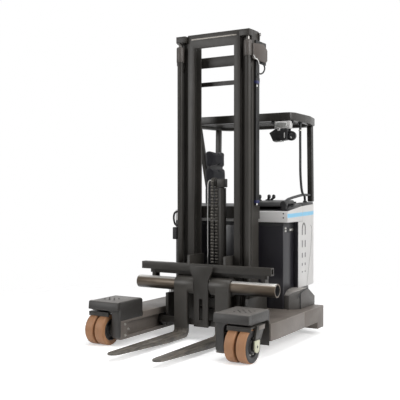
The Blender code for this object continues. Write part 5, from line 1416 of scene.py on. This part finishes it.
class TRUCK_OT_lamps(bpy.types.Operator):
    """A pale lamp over a black one on a bracket under the guard, with a round lamp beside them"""

    bl_idname = "reach_truck.lamps"
    bl_label = "Lamps"

    def execute(self, context):
        top = LAMP_TOP
        y = LAMP_Y
        bar = cuboid((0.420, 0.655), (y - 0.010, y + 0.014), (top - 0.026, top - 0.0003), 0.003)
        stem = cuboid((0.608, 0.624), (y - 0.006, y + 0.010), (top - 0.165, top - 0.010), 0.003)
        bracket = joined(bar, stem)
        moulding(bracket, "lamp_bracket")
        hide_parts("work_lamps")
        self.upper(y, top)
        self.lower(y, top)
        self.round(y, top)
        return {"FINISHED"}

    def pale(self, piece, name, finish, angle=35.0):
        finished(piece, name, "truck", "panel_grey", material(finish), angle=angle)

    def upper(self, y, top):
        shell = cuboid((0.470, 0.640), (y - 0.048, y + 0.014), (top - 0.083, top - 0.006), 0.011, 4)
        self.pale(shell, "upper_lamp", "lamp shell")
        pane = cuboid((0.486, 0.600), (y - 0.0505, y - 0.044), (top - 0.068, top - 0.020), 0.004, 3)
        self.pale(pane, "upper_lamp_lens", "lamp lens")
        knob = rod((0.520, y - 0.030, top - 0.100), (0.520, y - 0.030, top - 0.078), 0.026, 24, 0.004)
        self.pale(knob, "upper_lamp_socket", "lamp shell")

    def lower(self, y, top):
        outline = [
            (0.416, top - 0.118), (0.480, top - 0.082), (0.600, top - 0.080), (0.614, top - 0.092),
            (0.604, top - 0.182), (0.592, top - 0.192), (0.470, top - 0.204), (0.456, top - 0.200),
        ]
        moulding(swept(outline, "Y", y - 0.052, y + 0.022, 0.006, 3), "lower_lamp")
        glass = cuboid((0.474, 0.560), (y - 0.056, y - 0.016), (top - 0.211, top - 0.198), 0.005, 3)
        self.pale(glass, "lower_lamp_lens", "lamp lens")
        strip = cuboid((0.574, 0.584), (y - 0.0545, y - 0.046), (top - 0.172, top - 0.120), 0.003)
        finished(strip, "lower_lamp_strip", "truck", "bright_steel", material("lamp shell"))

    def round(self, y, top):
        centre = (0.640, y - 0.004, top - 0.152)
        drum = [
            (0, 0.026), (0.030, 0.026), (0.044, 0.010), (0.047, -0.006),
            (0.047, -0.028), (0.042, -0.030), (0.040, -0.022), (0, -0.022),
        ]
        moulding(spun(drum, centre, "Y", 40), "round_lamp", angle=40)
        face = [(0, -0.020), (0.039, -0.021), (0.034, -0.026), (0.020, -0.029), (0, -0.030)]
        moulding(spun(face, centre, "Y", 40), "round_lamp_cover", "hood top", 50)
        # A small pale disc low on the black face: a painted glint.
        glint_disc = [(0, -0.026), (0.010, -0.026), (0.008, -0.032), (0, -0.0335)]
        self.pale(spun(glint_disc, (0.640, y - 0.004, top - 0.170), "Y", 20), "round_lamp_glint", "lamp lens", 50)


class TRUCK_OT_mast(bpy.types.Operator):
    """The three mast stages with their lugs, caps and strips, and the reach carriage"""

    bl_idname = "reach_truck.mast"
    bl_label = "Mast"

    def execute(self, context):
        for node in ("reach_carriage", "outer_mast", "middle_mast", "inner_mast"):
            dress(node, "charcoal paint", "charcoal edge", sizes().plate_edge * 0.8)
        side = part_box("outer_mast")[1].x
        ear = swept(rounded_outline((0.372, 2.903), 0.060, 0.094, 0.024), "Y", 0.2280, 0.2400)
        ear = carved(ear, rod((0.380, 0.20, 2.918), (0.380, 0.26, 2.918), 0.011, 20))
        self.add(rounded(ear, sizes().thin_edge, 2, 50.0), "mast_lifting_lug", "charcoal paint")
        outline = [
            (0.060, 2.815), (0.290, 2.838), (0.362, 2.790), (0.362, 2.690), (0.330, 2.664), (0.060, 2.664),
        ]
        cover = swept(outline, "X", side + 0.0002, side + 0.016, 0.003)
        self.add(cover, "mast_cap_cover", "brown grease")
        lip = cuboid((side + 0.0002, side + 0.018), (0.048, 0.060), (2.668, 2.812), 0.002)
        self.add(lip, "mast_cap_lip", "grey cap")
        eye = [(0.010, 0), (0.016, 0), (0.016, 0.004), (0.010, 0.004)]
        self.add(spun(eye, (side, 0.225, 2.925), "X", 24), "mast_lifting_eye", "grey cap", 40)

        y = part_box("inner_mast")[0].y
        pale = material("pale strip")
        # A pale strip along the inner mast's top front: a painted highlight.
        seam = cuboid((-0.250, 0.250), (y - 0.0035, y + 0.004), (2.902, 2.914), 0.0015)
        finished(seam, "mast_top_highlight_strip", "inner_stage", "bright_steel", pale)
        wear = cuboid((-0.1655, -0.1475), (y + 0.002, y + 0.012), (2.825, 2.912), 0.003)
        finished(wear, "hose_guide_strip", "inner_stage", "bright_steel", pale)
        holder = cuboid((-0.172, -0.141), (y + 0.010, y + 0.016), (2.822, 2.922), 0.002)
        paint = material("charcoal paint")
        finished(holder, "hose_guide_holder", "inner_stage", "frame_paint", paint)
        line = ((-0.385, 2.928), (-0.415, 2.943), (-0.440, 2.930), (-0.442, 2.905), (-0.424, 2.888))
        hook = pipe([(x, 0.085, z) for x, z in line], 0.008, 2)
        finished(hook, "mast_hook", "reach_unit", "frame_paint", paint, angle=60)
        return {"FINISHED"}

    def add(self, piece, name, finish, angle=35.0):
        both_sides(piece, name, "reach_unit", "frame_paint", finish, angle)


class TRUCK_OT_cylinders(bpy.types.Operator):
    """Lift cylinders with their caps and rods, and the free-lift cylinder with its head"""

    bl_idname = "reach_truck.cylinders"
    bl_label = "Lift cylinders"

    def execute(self, context):
        for node in ("lift_cylinder_left", "lift_cylinder_right", "free_lift_cylinder"):
            dress(node, "charcoal paint", "charcoal edge", 0.001, 2, 40.0)
        for node in ("lift_rod_left", "lift_rod_right"):
            dress(node, "bright rod", None, 0.0005, 2, 60.0)
        dress("free_lift_head", "charcoal paint", "charcoal edge", sizes().thin_edge, 2, 45.0)
        low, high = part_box("lift_cylinder_left")
        x = (low.x + high.x) / 2
        y = (low.y + high.y) / 2
        section = [
            (0.0182, -0.150), (0.0370, -0.150), (0.0385, -0.146),
            (0.0385, -0.012), (0.0350, -0.004), (0.0182, -0.004),
        ]
        gland = spun(section, (x, y, high.z), "Z", 36)
        both_sides(gland, "cylinder_gland", "reach_unit", "frame_paint", "grey cap", angle=40)
        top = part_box("lift_rod_left")[1].z
        nut = bolt((x, y, top - 0.001), (0, 0, 1), 0.026, 0.020)
        both_sides(nut, "rod_nut", "middle_stage", "bright_steel", "zinc")
        return {"FINISHED"}


# Lift chain, in metres
CHAIN_DEPTH = 0.010
CHAIN_PITCH = 0.031
CHAIN_HALF_WIDTH = 0.019
LINK_HALF_DEPTH = 0.0042
LINK_HALF_HEIGHT = 0.0130
PULLEY_Z = 1.505
FRONT_CHAIN_FOOT = 0.34
CARRIAGE_HOSE_X = -0.096
CARRIAGE_HOSE_Y = 0.096


class TRUCK_OT_chain(bpy.types.Operator):
    """The lift chain over its pulley: a front strand to the fork carriage, a rear one to the mast"""

    bl_idname = "reach_truck.chain"
    bl_label = "Lift chain"

    def execute(self, context):
        low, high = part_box("lift_chain")
        x = (low.x + high.x) / 2 - 0.006
        front_y = low.y + CHAIN_DEPTH / 2
        rear_y = high.y - CHAIN_DEPTH / 2
        top = PULLEY_Z
        front = self.strand(x, front_y, FRONT_CHAIN_FOOT, top)
        rear = self.strand(x, rear_y, low.z + 0.004, top)
        bend = self.bend(x, front_y, (x, (front_y + rear_y) / 2, top))
        steel = material("oiled steel")
        finished(front, "chain_front", "chain_head", "chain_steel", steel, angle=40)
        named(rear, "chain_rear", "chain_steel", steel, angle=40)
        finished(bend, "chain_bend", "chain_head", "chain_steel", steel, angle=40)
        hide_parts("lift_chain")
        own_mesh(front)
        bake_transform(rear)
        x = CARRIAGE_HOSE_X
        y = CARRIAGE_HOSE_Y
        route = [
            (-0.052, 0.118, 1.512), (-0.068, 0.110, 1.524), (-0.084, 0.102, 1.520),
            (-0.0935, 0.098, 1.495), (x, y, 1.440), (x, y, 0.95), (x, y, FRONT_CHAIN_FOOT),
        ]
        hose = pipe(route, 0.0055, 2)
        finished(hose, "carriage_hose", "chain_head", "bright_steel", material("rod bright"), angle=60)
        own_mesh(hose)
        return {"FINISHED"}

    def link(self, x, y, z):
        """Side plates of one link, with the pin's bar across them."""
        half = CHAIN_HALF_WIDTH
        depth = LINK_HALF_DEPTH
        height = LINK_HALF_HEIGHT
        plates = cuboid((x - half, x + half), (y - depth, y + depth), (z - height, z + height), 0.003)
        bar = rod((x - half * 0.90, y - 0.0005, z), (x + half * 0.90, y - 0.0005, z), 0.0068, 10)
        return joined(plates, bar)

    def strand(self, x, y, foot, top):
        """Links in a row, from a foot up to the pulley."""
        count = round((top - foot) / CHAIN_PITCH)
        pitch = (top - foot) / count
        first = self.link(x, y, foot + LINK_HALF_HEIGHT)
        return joined(first, *[copied(first, (0, 0, pitch * index)) for index in range(1, count)])

    def bend(self, x, y, centre, steps=7):
        """Links turned half round the pulley."""
        first = self.link(x, y, PULLEY_Z)
        wrap = [first]
        for step in range(1, steps + 1):
            twin = copied(first)
            edit(twin)
            turn = math.pi * step / steps
            bpy.ops.transform.rotate(value=turn, orient_axis="X", center_override=centre)
            leave()
            wrap.append(twin)
        return joined(*wrap)


class TRUCK_OT_hoses(bpy.types.Operator):
    """The hose run on the mast's side, with its bands and the loops at its ends"""

    bl_idname = "reach_truck.hoses"
    bl_label = "Hoses"

    def execute(self, context):
        dress("hose_run", "hose rubber", None, 0.001, 2, 50.0)
        low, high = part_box("hose_run")
        width = (low.x - 0.002, high.x + 0.003)
        for index, z in enumerate((2.460, 1.318)):
            band = cuboid(width, (low.y - 0.003, low.y + 0.062), (z - 0.014, z + 0.014), 0.003)
            self.add(band, f"hose_band_{index}", "hose band")
        outer = (high.x - 0.002, high.x + 0.003)
        clips = [
            cuboid(outer, (low.y - 0.002, low.y + 0.022), (z - 0.009, z + 0.009), 0.003)
            for z in (2.423, 1.294)
        ]
        finished(joined(*clips), "hose_clips", "reach_unit", "bright_steel", material("white hose"))
        lead = [
            (0.424, 0.052, 2.700), (0.426, 0.085, 2.676), (0.427, 0.120, 2.672),
            (0.426, 0.160, 2.650), (0.420, 0.180, 2.628),
        ]
        self.add(pipe(lead, 0.0055, 2), "sensor_lead", "white hose", 60)
        loop = [
            (0.412, 0.290, 2.655), (0.420, 0.305, 2.620), (0.422, 0.285, 2.580),
            (0.421, 0.230, 2.548), (0.418, 0.165, 2.536), (0.412, 0.145, 2.500),
        ]
        self.add(pipe(loop, 0.0075, 2), "mast_hose_loop", "hose rubber", 60)
        loop = (
            (-0.404, 1.215), (-0.430, 1.205), (-0.444, 1.170),
            (-0.440, 1.120), (-0.424, 1.085), (-0.404, 1.075),
        )
        self.add(pipe([(x, 0.020, z) for x, z in loop], 0.010, 2), "far_hose_loop", "hose rubber", 60)
        block = cuboid((-0.447, -0.4045), (-0.001, 0.050), (0.940, 1.060), 0.006, 3)
        self.add(block, "valve_block", "black moulding")
        return {"FINISHED"}

    def add(self, piece, name, finish, angle=35.0):
        finished(piece, name, "reach_unit", "black_plastic", material(finish), angle=angle)


# Fork shaft, in metres
SHAFT_WALL = 0.011
SHAFT_BORE_DEPTH = 0.18


class TRUCK_OT_fork_carriage(bpy.types.Operator):
    """The fork carriage, the fork shaft with its clamps and the frame that tilts the forks"""

    bl_idname = "reach_truck.fork_carriage"
    bl_label = "Fork carriage"

    def execute(self, context):
        for node in ("fork_carriage", "tilt_frame"):
            dress(node, "charcoal paint", "mast edge", sizes().plate_edge)
        low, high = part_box("fork_shaft")
        x, y, z = (low + high) / 2
        bore = (high.z - low.z) / 2 - SHAFT_WALL
        shaft = bare_copy("fork_shaft")
        for end in (low.x, high.x):
            inward = -math.copysign(SHAFT_BORE_DEPTH, end)
            shaft = carved(shaft, rod((end - inward * 0.1, y, z), (end + inward, y, z), bore, 48))
        rounded(shaft, sizes().thin_edge, 2, 50.0)
        # The bore's inner faces take the black moulding: painted shade inside the tube.
        finishes = (material("shaft steel"), material("black moulding"))
        finished(shaft, "fork_shaft_tube", "fork_frame", SLOT_OF["fork_shaft"], *finishes)
        for face in shaft.data.polygons:
            out = math.hypot(face.center.y - y, face.center.z - z)
            inside = out < bore + 0.001 and abs(face.center.x - x) < high.x - 0.002
            face.material_index = int(inside)
        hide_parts("fork_shaft")
        return {"FINISHED"}


# Fork tips: their tapered length in metres, and the share of the width that they lose
TIP_LENGTH = 0.30
TIP_TAPER = 0.32


class TRUCK_OT_forks(bpy.types.Operator):
    """The two forks, rubbed along their blades"""

    bl_idname = "reach_truck.forks"
    bl_label = "Forks"

    def execute(self, context):
        for node in ("fork_left", "fork_right"):
            piece = dress(node, "fork paint", "charcoal edge", sizes().plate_edge)
            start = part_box(node)[0].y + TIP_LENGTH
            tip = [vertex.co for vertex in piece.data.vertices if vertex.co.y < start]
            middle = (min(co.x for co in tip) + max(co.x for co in tip)) / 2
            for co in tip:
                part = (start - co.y) / TIP_LENGTH
                co.x = middle + (co.x - middle) * (1 - TIP_TAPER * part)
        return {"FINISHED"}


# Seat, in metres: the headrest's foot, the cover's mesh and how far a pad may swell
HEADREST_LOW = 1.684
CUSHION_VOXEL = 0.006
CUSHION_SWELL = 0.016
CUSHION_STEPS = 20


class TRUCK_OT_seat(bpy.types.Operator):
    """The driver's seat: cushion and backrest, crowned"""

    bl_idname = "reach_truck.seat"
    bl_label = "Seat"

    def execute(self, context):
        low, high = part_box("seat_back")
        foot = HEADREST_LOW
        x = (low.x + 0.030, high.x - 0.030)
        neck = cuboid(x, (low.y + 0.030, high.y - 0.045), (foot - 0.10, foot + 0.05), 0.008)
        moulding(neck, "headrest_posts")
        x = (low.x + 0.014, high.x - 0.014)
        back = cuboid(x, (low.y + 0.008, high.y - 0.010), (low.z + 0.012, foot - 0.006))
        head = cuboid(x, (low.y + 0.014, high.y - 0.024), (foot, high.z - 0.010))
        cushion(back)
        cushion(head)
        self.pad(back, "seat_back_pad")
        self.pad(head, "headrest_pad")
        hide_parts("seat_back")

        low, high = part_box("seat_cushion")
        x = (low.x + 0.012, high.x - 0.016)
        seat = cuboid(x, (low.y + 0.012, high.y - 0.012), (low.z + 0.004, high.z - 0.016))
        self.pad(cushion(seat), "seat_cushion_pad")
        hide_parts("seat_cushion")
        return {"FINISHED"}

    def pad(self, piece, name):
        finished(piece, name, "truck", "seat_fabric", material("seat cloth"), angle=60)


def cushion(obj):
    """Blows a pad up under its cover, as stuffing does, and keeps the result as its mesh."""
    rounded(obj, 0.030, 5, 40.0)
    pick(obj)
    remesh = obj.modifiers.new("remesh", "REMESH")
    remesh.mode = "VOXEL"
    remesh.voxel_size = CUSHION_VOXEL
    bpy.ops.object.modifier_apply(modifier=remesh.name)
    before = [vertex.co.copy() for vertex in obj.data.vertices]
    cloth = obj.modifiers.new("cloth", "CLOTH")
    cloth.settings.use_pressure = True
    cloth.settings.uniform_pressure_force = 4.0
    cloth.settings.effector_weights.gravity = 0.0
    cloth.point_cache.frame_start = 1
    cloth.point_cache.frame_end = CUSHION_STEPS
    for step in range(1, CUSHION_STEPS + 1):
        bpy.context.scene.frame_set(step)
    pick(obj)
    bpy.ops.object.modifier_apply(modifier=cloth.name)
    bpy.context.scene.frame_set(1)
    for vertex, start in zip(obj.data.vertices, before):
        moved = vertex.co - start
        if moved.length > CUSHION_SWELL:
            vertex.co = start + moved.normalized() * CUSHION_SWELL
    smooth = obj.modifiers.new("smooth", "SUBSURF")
    smooth.levels = 1
    smooth.render_levels = 1
    bpy.ops.object.modifier_apply(modifier=smooth.name)
    return obj


# Light: the world's level, how far round the truck its white reflections reach, and lamps in watts
WORLD_LEVEL = 0.22
STUDIO_FRONT = 0.16
SIDE_POWER = 360.0
FRONT_POWER = 290.0
TOP_POWER = 300.0
FLOOR_GLOW = 0.42


def light(name, place, size, power):
    """A soft square lamp that looks at the truck's middle."""
    direction = Vector((0, 0.2, 1.1)) - Vector(place)
    deselect()
    bpy.ops.object.light_add(
        type="AREA", location=place, rotation=direction.to_track_quat("-Z", "Y").to_euler()
    )
    lamp = bpy.context.object
    lamp.name = name
    lamp.data.size = size
    lamp.data.energy = power


class TRUCK_OT_stage(bpy.types.Operator):
    """A pale floor, soft lamps and a camera at the photo's viewing angle"""

    bl_idname = "reach_truck.stage"
    bl_label = "Stage"

    def execute(self, context):
        deselect()
        bpy.ops.mesh.primitive_plane_add(size=60.0, location=(0, 0, 0))
        floor = bpy.context.object
        floor.name = "floor"
        floor.data.materials.append(floor_finish())

        self.studio()
        light("side_light", (6.5, -1.0, 4.0), 4.0, SIDE_POWER)
        light("front_light", (-5.0, -6.5, 4.0), 4.0, FRONT_POWER)
        light("top_light", (0.5, -0.5, 7.5), 5.0, TOP_POWER)

        deselect()
        bpy.ops.object.camera_add(
            location=CAMERA_PLACE,
            rotation=(math.radians(90 + CAMERA_PITCH), 0, math.radians(CAMERA_AZIMUTH)),
        )
        camera = bpy.context.object
        camera.name = "camera"
        camera.data.sensor_width = SENSOR_WIDTH
        camera.data.lens = CAMERA_LENS
        bpy.context.scene.camera = camera
        bpy.context.scene.view_settings.view_transform = "Standard"
        return {"FINISHED"}

    def studio(self):
        """A white studio: bright behind the truck and on both sides, dimmer in front of it."""
        world = bpy.data.worlds.new("studio")
        bpy.context.scene.world = world
        world.use_nodes = True
        wiring = Wiring(world.node_tree)
        background = wiring.tree.nodes["Background"]
        background.inputs["Color"].default_value = (1, 1, 1, 1)
        direction = wiring.node("ShaderNodeTexCoord").outputs["Generated"]
        backdrop = wiring.node(
            "ShaderNodeVectorMath", {0: direction, 1: (0.35, 0.94, 0.0)}, operation="DOT_PRODUCT"
        ).outputs["Value"]
        gloss = wiring.range(backdrop, STUDIO_FRONT, 1.0, -0.45, 0.25)
        glossy = wiring.seen_directly("Glossy")
        lit = wiring.math("MULTIPLY_ADD", glossy, wiring.math("SUBTRACT", gloss, WORLD_LEVEL), WORLD_LEVEL)
        white = wiring.math("MAXIMUM", lit, wiring.seen_directly("Camera", "Transmission"))
        wiring.tree.links.new(white, background.inputs["Strength"])


def floor_finish():
    """A matt white floor that stays pale where it is seen, keeps the shadow and ends softly."""
    finish = Finish("floor", specular=0.1)
    finish.colour(finish.mix(finish.noise(1.5, 2.0), (0.92, 0.92, 0.92), (0.94, 0.94, 0.94)))
    finish.rough(finish.noise(2.0, 2.0), 0.75, 0.85)
    finish.shader.inputs["Emission Color"].default_value = (1, 1, 1, 1)
    seen = finish.seen_directly("Camera", "Glossy", "Transmission")
    finish.tree.links.new(finish.range(seen, 0.0, FLOOR_GLOW), finish.shader.inputs["Emission Strength"])
    length = finish.node("ShaderNodeVectorMath", {0: finish.place}, operation="LENGTH").outputs["Value"]
    shown = finish.range(length, 1.0, 0.0, 1.8, 4.5)
    finish.tree.links.new(shown, finish.shader.inputs["Alpha"])
    return finish.material


class TRUCK_PT_panel(bpy.types.Panel):
    """Lists the pieces of the reach truck"""

    bl_idname = "TRUCK_PT_panel"
    bl_label = "Reach Truck"
    bl_space_type = "VIEW_3D"
    bl_region_type = "UI"
    bl_category = "Reach Truck"

    def draw(self, context):
        layout = self.layout
        for group in (context.scene.reach_truck_colours, context.scene.reach_truck_sizes):
            for key in group.__annotations__:
                layout.prop(group, key)
        for operator in OPERATORS:
            layout.operator(operator.bl_idname)


OPERATORS = (
    TRUCK_OT_stage,
    TRUCK_OT_chassis,
    TRUCK_OT_wheel_covers,
    TRUCK_OT_fenders,
    TRUCK_OT_bogies,
    TRUCK_OT_load_wheels,
    TRUCK_OT_drive,
    TRUCK_OT_battery,
    TRUCK_OT_body,
    TRUCK_OT_controls,
    TRUCK_OT_guard,
    TRUCK_OT_lamps,
    TRUCK_OT_mast,
    TRUCK_OT_cylinders,
    TRUCK_OT_chain,
    TRUCK_OT_hoses,
    TRUCK_OT_fork_carriage,
    TRUCK_OT_forks,
    TRUCK_OT_seat,
)
CLASSES = (TruckColours, TruckSizes, *OPERATORS, TRUCK_PT_panel)


def register():
    for cls in CLASSES:
        bpy.utils.register_class(cls)
    bpy.types.Scene.reach_truck_colours = bpy.props.PointerProperty(type=TruckColours)
    bpy.types.Scene.reach_truck_sizes = bpy.props.PointerProperty(type=TruckSizes)


def unregister():
    del bpy.types.Scene.reach_truck_sizes
    del bpy.types.Scene.reach_truck_colours
    for cls in reversed(CLASSES):
        bpy.utils.unregister_class(cls)


def main():
    register()
    for operator in OPERATORS:
        group, action = operator.bl_idname.split(".")
        getattr(getattr(bpy.ops, group), action)()


if __name__ == "__main__":
    main()
